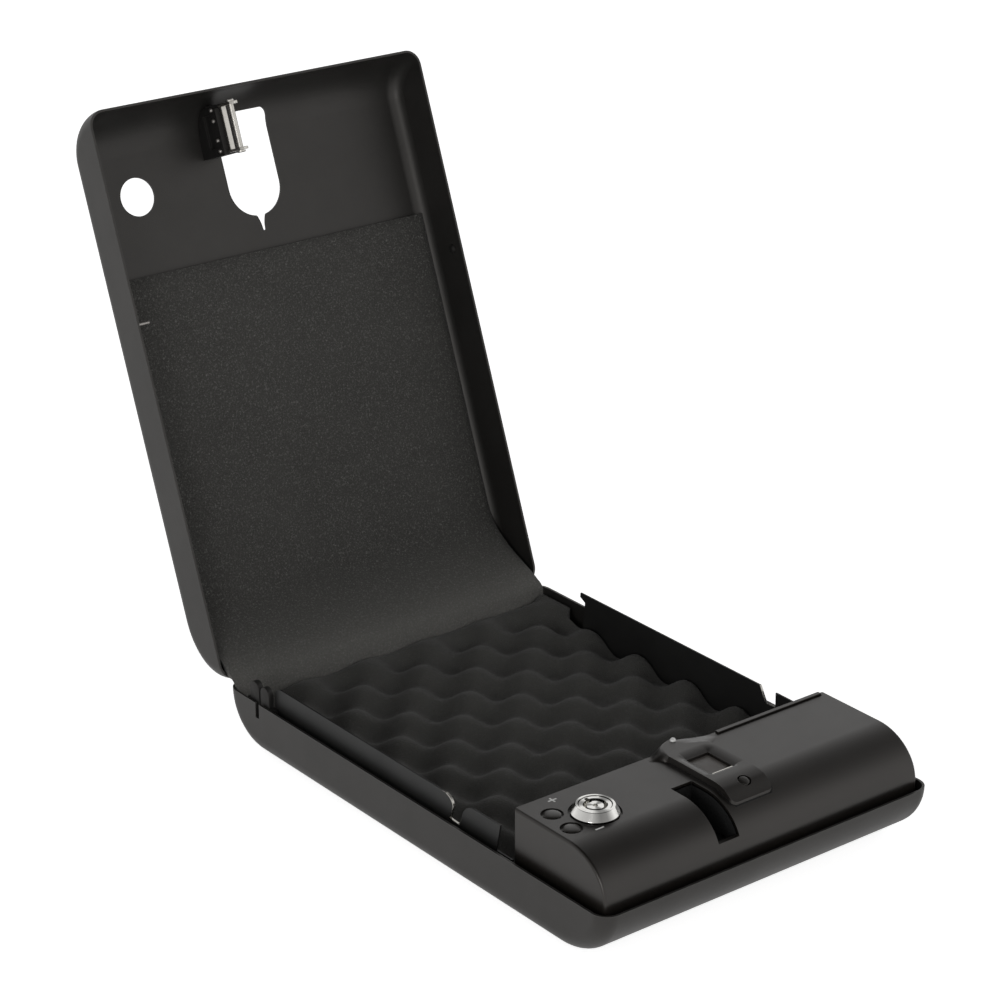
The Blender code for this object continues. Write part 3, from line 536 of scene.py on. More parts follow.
def lathe(axis, centre, profile, steps=64):
    bm = bmesh.new()
    columns = []
    for k in range(steps):
        angle = 2 * pi * k / steps
        columns.append([
            bm.verts.new(placed(axis, centre[0] + r * cos(angle), centre[1] + r * sin(angle), along))
            for r, along in profile
        ])
    for k in range(steps):
        near = columns[k]
        far = columns[(k + 1) % steps]
        for i in range(len(profile) - 1):
            bm.faces.new((near[i], near[i + 1], far[i + 1], far[i]))
        if profile[0][0] > 0:
            bm.faces.new((near[-1], near[0], far[0], far[-1]))
    bmesh.ops.remove_doubles(bm, verts=bm.verts, dist=1e-7)
    bmesh.ops.dissolve_degenerate(bm, edges=bm.edges, dist=1e-8)
    return tidy(bm)


def rod(axis, centre, radius, low, high, steps=64):
    return lathe(axis, centre, [(0, low), (radius, low), (radius, high), (0, high)], steps)


def arc(centre, radii, start, end, steps, inset=0.0):
    points = []
    for k in range(steps + 1):
        angle = radians(start + (end - start) * k / steps)
        across = cos(angle)
        up = sin(angle)
        slope = hypot(across / radii[0], up / radii[1])
        points.append((
            centre[0] + radii[0] * across - inset * across / radii[0] / slope,
            centre[1] + radii[1] * up - inset * up / radii[1] / slope,
        ))
    return points


def tilted(bm, y, z, angle):
    pivot = at(0, y, z)
    bm.transform(
        Matrix.Translation(pivot) @ Matrix.Rotation(radians(angle), 4, "X") @ Matrix.Translation(-pivot)
    )
    return bm


def close_sheets(bm, sheets):
    """Faces over two matching grids of points and round their shared border."""
    front, back = sheets
    rows = range(len(front) - 1)
    columns = range(len(front[0]) - 1)
    for sheet in sheets:
        for r in rows:
            for c in columns:
                bm.faces.new((sheet[r][c], sheet[r][c + 1], sheet[r + 1][c + 1], sheet[r + 1][c]))
    for c in columns:
        for r in (0, -1):
            bm.faces.new((front[r][c], front[r][c + 1], back[r][c + 1], back[r][c]))
    for r in rows:
        for c in (0, -1):
            bm.faces.new((front[r][c], front[r + 1][c], back[r + 1][c], back[r][c]))


def grid_solid(x_lines, y_lines, top, foot):
    """A closed slab over a grid: top(x, y) and foot(x, y) give its two heights."""
    bm = bmesh.new()
    sheets = [
        [[bm.verts.new(at(x, y, height(x, y))) for x in x_lines(y)] for y in y_lines]
        for height in (top, foot)
    ]
    close_sheets(bm, sheets)
    return tidy(bm)


def smooth_step(value, low, high):
    share = min(1.0, max(0.0, (value - low) / (high - low)))
    return share * share * (3 - 2 * share)


# ---------------- shells


def base_outline(inset, steps=22):
    height = BASE_DEPTH + BASE_RIM
    front = arc((BASE_FRONT_ROUND, BASE_RIM), (BASE_FRONT_ROUND, height), 180, 270, steps, inset)
    rear_centre = (LENGTH - BASE_REAR_ROUND, BASE_RIM)
    return front + arc(rear_centre, (BASE_REAR_ROUND, height), 270, 360, steps, inset)


def lid_outline(inset, steps=22):
    height = LID_DEPTH - LID_RIM
    front = arc((LID_FRONT_ROUND, LID_RIM), (LID_FRONT_ROUND, height), 180, 90, steps, inset)
    rear_centre = (LID_LENGTH - LID_REAR_ROUND, LID_RIM)
    return front + arc(rear_centre, (LID_REAR_ROUND, height), 90, 0, steps, inset)


def rounded_ends(outline, half, radius, inset=0.0, beyond=None, steps=10):
    """A solid along x through an outline, its two ends rounded. beyond opens it past its rim."""
    half -= inset
    radius -= inset
    rings = []
    for side in (-1, 1):
        angles = [radians(90 * k / steps) for k in range(steps + 1)]
        if side > 0:
            angles.reverse()
        for angle in angles:
            x = side * (half - radius + radius * cos(angle))
            ring = outline(inset + radius * (1 - sin(angle)))
            if beyond:
                ring = ring + [(ring[-1][0], beyond), (ring[0][0], beyond)]
            rings.append([at(x, y, z) for y, z in ring])
    return skin(rings)


def base_shell():
    cuts = [rounded_ends(base_outline, HALF_WIDTH, BASE_EDGE, SHEET, 6.0)]
    for span in ((-90.6, -57.4), (57.4, 90.6)):
        cuts.append(block(span, (LENGTH - 4.5, LENGTH + 3), (-4.6, 3.0)))
    cuts.append(block((-HALF_WIDTH - 2, -HALF_WIDTH + 2), (263.5, 266.5), (-9.7, 3.0)))
    low = -BASE_DEPTH - 0.1
    seat = [(0, low), (3.5, low), (2.0, low + 1.5), (2.0, low + 3), (0, low + 3)]
    cuts += [lathe("z", place, seat, 32) for place in SCREWS]
    cuts += [rod("z", place, 3.5, -BASE_DEPTH - 2, -BASE_DEPTH + 3, 32) for place in BOLTS]
    piece(
        "base_body", rounded_ends(base_outline, HALF_WIDTH, BASE_EDGE), POWDER, "base",
        ["base_shell"], cuts, bevel=0.22,
    )


def capsule(centre, radius, front, corner=5.0):
    left = arc((centre[0] - radius + corner, front + corner), (corner, corner), 180, 270, 8)
    right = arc((centre[0] + radius - corner, front + corner), (corner, corner), 270, 360, 8)
    return left + right + arc(centre, (radius, radius), 0, 180, 28)


def lid_shell():
    tip = arc((0.0, 74.4), (0.8, 0.8), 20, 160, 8)
    side = [(4.2, 62.0), (3.1, 66.3), (2.2, 68.0), (1.5, 70.0), (1.0, 72.2)]
    notch = side + tip + [(-x, y) for x, y in reversed(side)]
    cuts = [
        rounded_ends(lid_outline, LID_HALF_WIDTH, LID_EDGE, SHEET, -6.0),
        rod("z", (LOCK[0] - 0.5, LOCK[1] + 0.4), 9.75, 20, 35),
        prism("z", capsule((0.0, 51.5), 15.7, 12.5), 15, 35),
        prism("z", notch, 20, 35),
    ]
    piece(
        "lid_body", rounded_ends(lid_outline, LID_HALF_WIDTH, LID_EDGE), POWDER, "lid",
        ["lid_shell"], cuts, bevel=0.22,
    )


def liner():
    above = 12.0
    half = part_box("inner_tray")[1].x / MM
    floor = -27.3
    outer = [(half, 9.0), (half, -24.0), (91.0, floor)]
    inner = [(90.5, floor + 1), (half - 1, -23.6), (half - 1, 9.0)]
    section = outer + [(-x, z) for x, z in reversed(outer)] + [(-x, z) for x, z in reversed(inner)] + inner
    left = (-half - 2, -half + 3)
    right = (half - 3, half + 2)
    low_front = [(30, above), (30, -6.6), (HOUSING_REAR + 1.3, -6.6), (HOUSING_REAR + 1.3, -4.8)]
    notch = [(119.8, above)] + arc((119.8, 2.3), (6.7, 6.7), 90, 165, 12)
    notch += [(115.1, -1.5), (116.5, -3.1), (109.1, -3.6)]
    notch += arc((98.5, -1.0), (9.0, 10.0), 8, 90, 12) + [(98.5, above)]
    rounded = arc((251.5, 4.0), (5.5, 5.0), 90, 0, 12) + [(260, 4), (260, above), (251.5, above)]
    hook = [(260, above), (260, -12), (248, -12), (246.5, 4.5), (250.5, 6.5), (250.0, above)]
    cuts = [
        prism("x", low_front + [(81.8, -4.8), (78.3, above)], *left),
        prism("x", low_front + [(86.2, -4.8), (88.0, above)], *right),
        prism("x", notch, *left),
        prism("x", [(101.2, above), (100.9, 1.2), (107.3, 1.0), (114.2, above)], *right),
        prism("x", rounded, *left),
        prism("x", hook, *right),
    ]
    cuts += [rod("z", p, 2.0, floor - 2, floor + 3, 24) for p in SCREWS if p[1] > 34]
    cuts += [rod("z", p, 3.5, floor - 2, floor + 3, 32) for p in BOLTS]
    sheet = prism("y", section, 34.0, 257.0)
    piece("liner", sheet, LINER, "base", ["inner_tray"], cuts, bevel=0.16)


def bare_edges():
    """Thin strips where the liner's paint is rubbed off: both rear ends of the two notches."""
    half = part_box("inner_tray")[1].x / MM
    rub = 0.45
    curve = arc((119.8, 2.3), (6.75, 6.75), 98, 165, 10) + [(115.05, -1.5), (116.2, -3.0), (110.0, -3.4)]
    inner = [(110.0, -3.85), (116.9, -3.5), (115.7, -1.7)]
    strip = curve + inner + arc((119.8, 2.3), (6.75 - rub, 6.75 - rub), 165, 98, 10)
    left = prism("x", strip, -half - 0.05, -half + 1.05)
    piece("bare_edge_left", left, STEEL, "base")
    strip = [(107.9, 1.5), (112.1, 8.9), (112.7, 8.9), (108.5, 1.5)]
    right = prism("x", strip, half - 1.05, half + 0.05)
    piece("bare_edge_right", right, STEEL, "base")


# ---------------- housing


def housing_outline(inset, steps=30, foot=None):
    radii = (HOUSING_ROUND_Y - HOUSING_FRONT, HOUSING_TOP)
    curve = arc((HOUSING_ROUND_Y, 0.0), radii, 90, 180, steps, inset)
    foot = HOUSING_FOOT - 3 * inset if foot is None else foot
    start = [(HOUSING_FRONT + inset, foot), (HOUSING_REAR - inset, foot)]
    return start + [(HOUSING_REAR - inset, HOUSING_TOP - inset)] + curve


def housing_top(y):
    if y >= HOUSING_ROUND_Y:
        return HOUSING_TOP
    across = (HOUSING_ROUND_Y - y) / (HOUSING_ROUND_Y - HOUSING_FRONT)
    return HOUSING_TOP * sqrt(max(0.0, 1 - across * across))


WAKE_TOP = housing_top(WAKE[1]) + BEZEL_RISE - 0.2


def wake_hole():
    return tilted(rod("z", WAKE, 3.3, WAKE_TOP - 14, WAKE_TOP + 6, 40), WAKE[1], WAKE_TOP, WAKE_TILT)


def window_hole(gap, top):
    """A cutter for the reader's window, wider by a gap on every side."""
    return block((WINDOW[0] - gap, WINDOW[1] + gap), (WINDOW[2] - gap, WINDOW[3] + gap), (15, top))


def hollow_housing():
    """The housing's outer form with rounded ends, hollowed from below."""
    inside = HOUSING_HALF - HOUSING_WALL
    outer = rounded_ends(
        lambda inset: housing_outline(inset, foot=HOUSING_FOOT), HOUSING_HALF, HOUSING_END_ROUND, steps=5
    )
    hollow = object_of("hollow", outer)
    room = object_of("room", prism("x", housing_outline(HOUSING_WALL), -inside, inside))
    modifier = hollow.modifiers.new("hollow", "BOOLEAN")
    modifier.operation = "DIFFERENCE"
    modifier.object = room
    settle(hollow)
    bm = bmesh.new()
    bm.from_mesh(hollow.data)
    bpy.data.objects.remove(hollow)
    bpy.data.objects.remove(room)
    return bm


def housing():
    floor = HOUSING_TOP - 1.2
    well = [(0, 15), (9.9, 15), (9.9, floor), (LOCK_WELL, floor), (LOCK_WELL, 30), (0, 30)]
    cuts = [rod("z", place, 1.5, -30.0, -10.0, 16) for place in SCREWS]
    cuts.append(block(SLOT, (-5, SLOT_REAR), (SLOT_FOOT, 30)))
    cuts.append(lathe("z", LOCK, well, 72))
    pit = [(0, 15), (3.3, 15), (3.3, floor), (BUTTON_WELL, floor), (BUTTON_WELL, 30), (0, 30)]
    cuts += [lathe("z", place, pit, 48) for place in (ENROLL, DELETE)]
    cuts.append(window_hole(0.3, 30))
    cuts.append(wake_hole())
    cuts.append(block(DOOR, (HOUSING_REAR - DOOR_THICK - 0.3, 75), (0.0, 30)))
    posts = [rod("z", place, 2.8, -25.8, HOUSING_TOP - 1.0, 24) for place in SCREWS]
    piece(
        "housing", hollow_housing(), PLASTIC, "base", ["housing_cover"], cuts, posts,
        bevel=0.35,
    )


def slot_chute():
    """The walls under the striker's slot, which close the view into the housing; they are near-black,
    painted shade for the slot's depth.
    """
    wall = 0.7
    foot = 3.4
    curve = arc((HOUSING_ROUND_Y, 0.0), (HOUSING_ROUND_Y - HOUSING_FRONT, HOUSING_TOP), 90, 180, 30, 1.2)
    outline = [(y, z) for y, z in curve if z > foot]
    outline += [(outline[-1][0], foot), (SLOT_REAR + wall, foot), (SLOT_REAR + wall, HOUSING_TOP - 1.2)]
    outer = prism("x", outline, SLOT[0] - wall, SLOT[1] + wall)
    inner = block(SLOT, (5, SLOT_REAR), (0, 30))
    piece("striker_chute", outer, SHADE_BLACK, "base", cuts=[inner], bevel=0.1)


def tongue_half(y):
    """The bezel's raised top at a place y, to its left and right: straight sides and a rounded rear."""
    if y < BEZEL_FRONT + BEZEL_CORNER:
        cut_in = BEZEL_CORNER - sqrt(max(0.0, BEZEL_CORNER**2 - (BEZEL_FRONT + BEZEL_CORNER - y) ** 2))
        return BEZEL_LEFT - cut_in, BEZEL_RIGHT - cut_in
    over = max(0.0, y - BEZEL_TIP_Y) / (BEZEL_REAR - BEZEL_TIP_Y)
    share = sqrt(max(0.0, 1 - over * over))
    return BEZEL_LEFT * share, BEZEL_RIGHT * share


def flank_widths(y):
    """Widths of the slopes beside the raised top: sharp steps that open into soft flares at the rear."""
    opened = smooth_step(y, BEZEL_FLARE_Y, BEZEL_FLARE_Y + 7.0)
    return [0.02 + flare * opened for flare in BEZEL_FLARES]


def bezel_sides(y):
    near = flank_widths(min(y, HOUSING_REAR))
    beyond = max(0.0, (y - HOUSING_REAR) / (BEZEL_REAR - HOUSING_REAR))
    return [half + flank * (1 - beyond) ** 4 for half, flank in zip(tongue_half(y), near)]


def bezel_top(x, y):
    """Height of the bezel: thin at its front lip, sloped off at its flares, dipped round the window."""
    rise = BEZEL_LIP + (BEZEL_RISE - BEZEL_LIP) * smooth_step(y, BEZEL_FRONT, 23.5)
    side = 0 if x < 0 else 1
    half = tongue_half(y)[side]
    if y > BEZEL_FLARE_Y:
        slope = flank_widths(min(y, HOUSING_REAR))[side]
        inner = 0.35 if x < 0 else 1.0
        rise *= 1 - smooth_step(abs(x), half - inner * slope, half + slope)
    elif abs(x) > half:
        rise = 0.0
    over_x = max(WINDOW[0] - x, x - WINDOW[1], 0.0)
    over_y = max(WINDOW[2] - y, y - WINDOW[3], 0.0)
    reach = 2.5 if y < WINDOW[2] else 6.5 if x > WINDOW[0] else 5.0
    away = max(0.0, 1 - hypot(over_x, over_y) / reach)
    return housing_top(y) + max(rise - WINDOW_DIP * away * away, 0.03)


def bezel():
    count = 72

    def x_lines(y):
        left, right = [max(side, 0.3) for side in bezel_sides(y)]
        return [-left + (left + right) * k / count for k in range(count + 1)]

    front = [BEZEL_FRONT + BEZEL_CORNER * (1 - cos(pi / 2 * k / 8)) for k in range(8)]
    middle = [BEZEL_FRONT + BEZEL_CORNER + 0.65 * k for k in range(62)]
    flare = [BEZEL_FLARE_Y + 0.4 * k for k in range(26)]
    rear = [69.5 + (BEZEL_REAR - 69.5) * sin(pi / 2 * k / 12) for k in range(13)]
    y_lines = front + [y for y in middle if y < BEZEL_FLARE_Y - 0.2] + flare + rear
    solid = grid_solid(x_lines, y_lines, bezel_top, lambda x, y: housing_top(y) - 1.0)
    cuts = [
        window_hole(0.0, 40),
        wake_hole(),
        rod("z", (0.0, LED_Y), 1.55, HOUSING_TOP - 3, HOUSING_TOP + 8, 32),
    ]
    piece(
        "reader_bezel", solid, PLASTIC, "base", ["sensor_bezel"], cuts, bevel=0.35,
        sharp=40, flat=0.08,
    )


def bezel_shadow_line():
    """A thin black strip round the bezel's foot on the housing: a painted shadow line along the bezel's
    step.
    """
    reach = 0.45
    near = [BEZEL_FRONT - reach + (BEZEL_CORNER + reach) * (1 - cos(pi / 2 * k / 6)) for k in range(6)]
    y_lines = near + [BEZEL_FRONT + BEZEL_CORNER + 2.0 * k for k in range(20)] + [BEZEL_FLARE_Y]

    def x_lines(y):
        left, right = tongue_half(max(y, BEZEL_FRONT + 0.2))
        return [-left - reach + (left + right + 2 * reach) * k / 24 for k in range(25)]

    def top(x, y):
        return housing_top(y) + 0.16

    def foot(x, y):
        return housing_top(y) - 0.6

    solid = grid_solid(x_lines, y_lines, top, foot)
    cuts = [window_hole(1.0, 40), wake_hole()]
    piece("bezel_painted_shadow", solid, SHADE_BLACK, "base", cuts=cuts)


def door():
    middle = (DOOR[0] + DOOR[1]) / 2
    solid = block(
        (DOOR[0] + 0.4, DOOR[1] - 0.4), (HOUSING_REAR - DOOR_THICK + 0.4, HOUSING_REAR), (0.3, DOOR_LIP)
    )
    thumb = rod("y", (middle, HOUSING_TOP - 6), 5.0, HOUSING_REAR - 0.9, HOUSING_REAR + 3, 40)
    grooves = [
        block((middle - 4, middle + 4), (HOUSING_REAR - 1.4, HOUSING_REAR), (z, z + 0.7))
        for z in (HOUSING_TOP - 9, HOUSING_TOP - 6.5, HOUSING_TOP - 4)
    ]
    cuts = [thumb] + grooves
    piece("door_panel", solid, PLASTIC, "door", ["battery_door"], cuts, bevel=0.3)


def lock():
    seat = HOUSING_TOP - 0.9
    body = [
        (7.9, 2.0), (9.5, 2.0), (9.5, seat), (11.25, seat), (11.25, seat + 1.3), (11.1, seat + 1.6),
        (9.1, LOCK_TOP - 0.15), (8.9, LOCK_TOP), (7.9, LOCK_TOP),
    ]
    piece("lock_bezel", lathe("z", LOCK, body, 96), CHROME, "base", ["lock_body"], sharp=20)
    top = LOCK_TOP - 0.3
    groove = top - 5.0
    face = [
        (0, 1.5), (7.6, 1.5), (7.6, top - 0.2), (7.4, top), (5.7, top), (5.5, top - 0.2), (5.5, groove),
        (4.0, groove), (4.0, top - 0.6), (3.8, top - 0.4), (1.3, top - 0.4), (1.1, top - 0.6),
        (1.1, top - 1.6), (0, top - 1.6),
    ]
    notch = [block((LOCK[0] - 1.0, LOCK[0] + 1.0), (LOCK[1] + 3.2, LOCK[1] + 7.0), (groove + 2, top + 2))]
    piece("key_plug", lathe("z", LOCK, face, 96), CHROME, "plug", ["lock_plug"], notch, sharp=20)


def buttons():
    top = HOUSING_TOP + 0.4
    lip = HOUSING_TOP - 0.33
    for name, place in (("enroll", ENROLL), ("delete", DELETE)):
        profile = [(0, 15.5), (4.2, 15.5), (4.2, 17.0), (3.0, 17.0), (3.0, lip), (4.2, lip)]
        profile += [(4.2 * cos(a), lip + 0.1 + (top - lip - 0.1) * sin(a)) for a in (0, 0.3, 0.6, 0.9, 1.2)]
        profile += [(0, top)]
        piece(
            f"{name}_cap", lathe("z", place, profile, 48), PLASTIC, name,
            [f"{name}_button"], sharp=30,
        )
    profile = [(0, WAKE_TOP - 9), (2.75, WAKE_TOP - 9), (2.75, WAKE_TOP - 0.6), (2.5, WAKE_TOP - 0.2)]
    profile += [(2.0, WAKE_TOP - 0.05), (1.2, WAKE_TOP + 0.05), (0, WAKE_TOP + 0.1)]
    cap = tilted(lathe("z", WAKE, profile, 48), WAKE[1], WAKE_TOP, WAKE_TILT)
    piece("wake_cap", cap, PLASTIC, "wake", ["wake_button"], sharp=30)


def printed_marks():
    """A plus beside one set-up button and a minus beside the other, in white ink."""
    ink = (HOUSING_TOP + 0.01, HOUSING_TOP + 0.06)
    x = -77.0
    plus_y = 64.6
    minus_y = 31.6
    plus = block((x - 2.4, x + 2.4), (plus_y - 0.45, plus_y + 0.45), ink)
    stem = block((x - 0.45, x + 0.45), (plus_y - 2.0, plus_y + 2.0), ink)
    piece("plus_mark", plus, INK, "base", adds=[stem])
    minus = block((x - 2.4, x + 2.4), (minus_y - 0.45, minus_y + 0.45), ink)
    piece("minus_mark", minus, INK, "base")


def reader():
    low = 17.0
    high = HOUSING_TOP + 0.7
    solid = block((WINDOW[0] + 0.12, WINDOW[1] - 0.12), (WINDOW[2] + 0.12, WINDOW[3] - 0.12), (low, high))
    rim = HOUSING_TOP + BEZEL_RISE - WINDOW_DIP
    across = (WINDOW[0] + 0.6, WINDOW[1] - 0.3)
    strip = block(across, (WINDOW[2] - 0.1, WINDOW[2] + 0.6), (rim - 1.6, rim + 0.12))
    piece("reader_window", solid, GLASS, "base", ["fingerprint_sensor"], bevel=0.12)
    piece("reader_strip", strip, STEEL, "base", bevel=0.1)
    dome = HOUSING_TOP + BEZEL_RISE
    lens = [(0, HOUSING_TOP + 0.6), (1.5, HOUSING_TOP + 0.6), (1.5, dome)]
    lens += [(1.5 * cos(a), dome + 1.4 * sin(a)) for a in (0.3, 0.6, 0.9, 1.2, 1.4)] + [(0, dome + 1.4)]
    piece("status_lens", lathe("z", (0.0, LED_Y), lens, 40), LENS, "base", ["led_lens"])


# ---------------- striker, studs


def striker():
    top = LID_DEPTH - SHEET - 0.05
    profile = [(34.0, 5.2), (34.0, top), (25.0, top), (17.0, 24.5), (12.0, 21.9), (9.5, 18.9)]
    profile += [(8.0, 14.0), (8.0, 9.5), (10.0, 8.3), (10.0, 5.2)]
    waist = [
        block((-28, -25.0), (12.5, 29.5), (12.0, 18.0)),
        block((-18.5, -14.0), (12.5, 29.5), (12.0, 18.0)),
    ]
    piece(
        "striker_foot", prism("x", profile, -26.5, -17.0), DARK_STEEL, "lid",
        ["striker_block"], waist, bevel=0.35,
    )
    front, rear, thick = 8.6, 33.4, 1.4
    channel = [
        (front, 4.9), (rear, 4.9), (rear, -9.0), (rear - thick, -9.0), (rear - thick, 3.3),
        (front + thick, 3.3), (front + thick, -9.0), (front, -9.0),
    ]
    corners = [
        prism("y", [(x, -9.5), (x + 2.2 * s, -9.5), (x, -6.6)], front - 1, rear + 1)
        for x, s in ((-24.7, 1), (-19.3, -1))
    ]
    corners += [block(x, (front + thick, rear - thick), (2.0, 6.0)) for x in ((-26, -23.6), (-20.8, -18))]
    piece(
        "striker_channel", prism("x", channel, -24.6, -19.4), STEEL, "lid",
        ["striker_bracket"], corners, bevel=0.2,
    )
    pin = [
        (0, 7.4), (1.9, 7.4), (2.2, 7.7), (2.2, 8.4), (1.5, 8.4), (1.5, 33.6), (2.2, 33.6), (2.2, 34.3),
        (1.9, 34.6), (0, 34.6),
    ]
    bar = lathe("y", (-22.0, -3.6), pin, 40)
    piece("striker_bar", bar, STEEL, "lid", ["striker_rod"], sharp=25)
    for number, y in enumerate((10.5, 16.0, 26.0, 31.5), 1):
        head = [(0, -27.7), (0.5, -27.65), (0.9, -27.4), (1.1, -27.0), (1.1, -26.5), (0, -26.5)]
        piece(
            f"striker_head_{number}", lathe("x", (y, 8.4), head, 28), RIVET, "lid",
            [f"striker_rivet_{number}"],
        )


def studs():
    """The thin pin on the lid's left wall, with a collar, and the flat dark rivet on the right wall."""
    wall = LID_HALF_WIDTH - SHEET
    place = (107.0, 8.0)
    end = -90.2
    pin = [(0, -wall), (2.0, -wall), (2.0, -wall + 0.8), (1.6, -wall + 1.1), (0.95, -wall + 1.2)]
    pin += [(0.95, end - 0.5), (0.6, end), (0, end)]
    piece("guide_pin", lathe("x", place, pin, 32), RIVET, "lid", ["lid_stud_left"])
    head = [(0, wall), (2.4, wall), (2.3, wall - 0.5), (1.7, wall - 0.95), (0.8, wall - 1.15)]
    rivet = lathe("x", place, head + [(0, wall - 1.2)], 32)
    piece("guide_rivet", rivet, DARK_STEEL, "lid", ["lid_stud_right"])


# ---------------- foam


def crate_sides(y):
    """The pad's left and right side at a place y. Behind the liner it fills the shell's full width."""
    wide = smooth_step(y, 258.0, 260.5)
    return -FOAM_HALF - 1.6 * wide, FOAM_HALF + 4.8 * wide


def crate_rear(x):
    return FOAM_REAR + 0.02 * x


def crate_height(x, y):
    """Egg-crate foam: rounded crests and dips on a diagonal grid, a little uneven."""
    turn = 2 * pi / CRATE_PITCH
    wave = cos(turn * (x - CRATE_PHASE[0])) * cos(turn * (y - CRATE_PHASE[1]))
    shaped = wave * (1.15 - 0.15 * wave * wave)
    uneven = noise.noise(Vector((x / 17.0, y / 17.0, 3.1))) * 0.55
    left, right = crate_sides(y)
    edge = min(x - left, right - x, y - FOAM_FRONT, crate_rear(x) - y)
    height = CRATE_TOP - CRATE_SWING + CRATE_SWING * shaped + uneven
    corner = smooth_step(x, 84.0, 97.0) * smooth_step(y, 235.0, 262.0)
    lifted = max(corner, 0.5 * smooth_step(y, 270.0, 283.0))
    height += lifted * (-4.6 - height)
    return height - 0.8 * (1 - smooth_step(edge, 0.0, 2.0))


def crate_foot(x, y):
    """Underside of the pad, which follows the liner's corners and the base's rear curve."""
    rear = BASE_REAR_ROUND - SHEET - 0.6
    depth = BASE_DEPTH - SHEET - 0.6
    over = max(0.0, y - (LENGTH - BASE_REAR_ROUND)) / rear
    curve = -depth * sqrt(max(0.0, 1 - over * over))
    side = -26.0 + max(0.0, abs(x) - 89.5)
    return max(curve, side)


def egg_crate():
    """The pad's grid, sheared at the rear so that its last row follows the foam sheet."""
    columns = 118
    rows = 132
    bm = bmesh.new()
    sheets = [[], []]
    for row in range(rows + 1):
        share = row / rows
        for layer, height in enumerate((crate_height, crate_foot)):
            line = []
            for column in range(columns + 1):
                straight = FOAM_FRONT + (FOAM_REAR - FOAM_FRONT) * share
                left, right = crate_sides(straight)
                x = left + (right - left) * column / columns
                y = straight + (crate_rear(x) - FOAM_REAR) * smooth_step(share, 0.6, 1.0)
                line.append(bm.verts.new(at(x, y, height(x, y))))
            sheets[layer].append(line)
    close_sheets(bm, sheets)
    piece("egg_crate_pad", tidy(bm), CRATE, "base", ["egg_crate_foam"], sharp=60)


def sheet_path():
    """The visible face of the lid's foam sheet, open: down the lid, round its rear, into the base."""
    inset = SHEET + LID_FOAM_THICK
    shut = [(LID_FOAM_FRONT + 4.0 * k, LID_DEPTH - inset) for k in range(43)]
    shut = [p for p in shut if p[0] < LID_LENGTH - LID_REAR_ROUND - 2.0]
    path = []
    for y, z in shut:
        p = OPENED @ at(0, y, z)
        path.append((p.y, p.z))
    tail = [(325.6, 22.6), (320.4, 18.6), (313.8, 14.6), (306.0, 10.6), (298.0, 6.4), (291.6, 2.2)]
    tail += [(287.4, -1.2), (285.3, -4.2), (284.5, -7.5), (284.2, -12.0)]
    for y, z in tail:
        p = at(0, y, z)
        path.append((p.y, p.z))
    return path


def smoothed(path, spacing, rounds=30):
    """The path as evenly spaced points, with its corners relaxed."""
    points = np.array(path)
    steps = np.hypot(*np.diff(points, axis=0).T)
    along = np.concatenate([[0.0], np.cumsum(steps)])
    count = int(along[-1] / spacing)
    places = np.linspace(0.0, along[-1], count + 1)
    even = np.stack([np.interp(places, along, column) for column in points.T], axis=1)
    for _ in range(rounds):
        even[1:-1] = 0.5 * even[1:-1] + 0.25 * (even[:-2] + even[2:])
    return even


def shell_corner(x):
    """How far the lid's rounded side edge has cut in from the lid's top at a place x, in mm."""
    over = max(0.0, abs(x) - (LID_HALF_WIDTH - LID_EDGE)) / LID_EDGE
    return LID_EDGE * (1 - sqrt(max(0.0, 1 - over * over)))


def lid_foam():
    """One sheet down the lid and over the hinges into the base, thinned where it passes the hinges."""
    face = smoothed(sheet_path(), 1.6 * MM, 16)
    ahead = np.gradient(face, axis=0)
    ahead /= np.hypot(ahead[:, 0], ahead[:, 1])[:, None]
    outward = np.stack([-ahead[:, 1], ahead[:, 0]], axis=1)
    if outward[4][0] < 0:
        outward = -outward
    rows = len(face)
    columns = 120
    hinge = np.array([HINGE.y, HINGE.z])
    bm = bmesh.new()
    sheets = [[], []]
    for row in range(rows):
        share = row / (rows - 1)
        low = smooth_step(-(face[row][1] - RIM_Z) / MM, -14.0, 2.0)
        half = 97.2 + 1.2 * low
        room = max(0.9, np.hypot(*(face[row] - hinge)) / MM - 2.5)
        thick = min(LID_FOAM_THICK, room)
        sink = smooth_step(-(face[row][1] - RIM_Z) / MM, 0.0, 6.0)
        fold = 1 - smooth_step(abs(face[row][1] - RIM_Z) / MM, 4.0, 16.0)
        for layer in (0, 1):
            line = []
            for column in range(columns + 1):
                x = half * (2 * column / columns - 1)
                ripple = noise.noise(Vector((x * 0.018, share * 6, 1.7))) * 0.5
                ripple += noise.noise(Vector((x * 0.06, share * 21, 5.2))) * 0.2
                edge = min(half - abs(x), row * 1.6)
                soft = 1.2 * (1 - smooth_step(edge, 0.0, 3.0))
                deep = thick
                if low < 0.5:
                    deep = min(thick, max(0.5, LID_FOAM_THICK + SHEET - 0.4 - shell_corner(x)))
                if layer:
                    push = max(deep, soft + 0.3)
                else:
                    push = min(ripple * (1 if edge > 4 else 0.3) + soft, deep)
                y, z = face[row] + outward[row] * push * MM
                y += (0.02 * x * sink - 1.5 * shell_corner(x) * fold) * MM
                line.append(bm.verts.new((x * MM, y, z)))
            sheets[layer].append(line)
    close_sheets(bm, sheets)
    tidy(bm)
    made = object_of("lid_foam_sheet", bm)
    made.data.shade_smooth()
    made.data.set_sharp_from_angle(angle=radians(60))
    made.data.materials.append(SHEET_FOAM)
    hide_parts("lid_foam", "foam_tail")
    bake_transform(made)


# ---------------- carried-over nodes


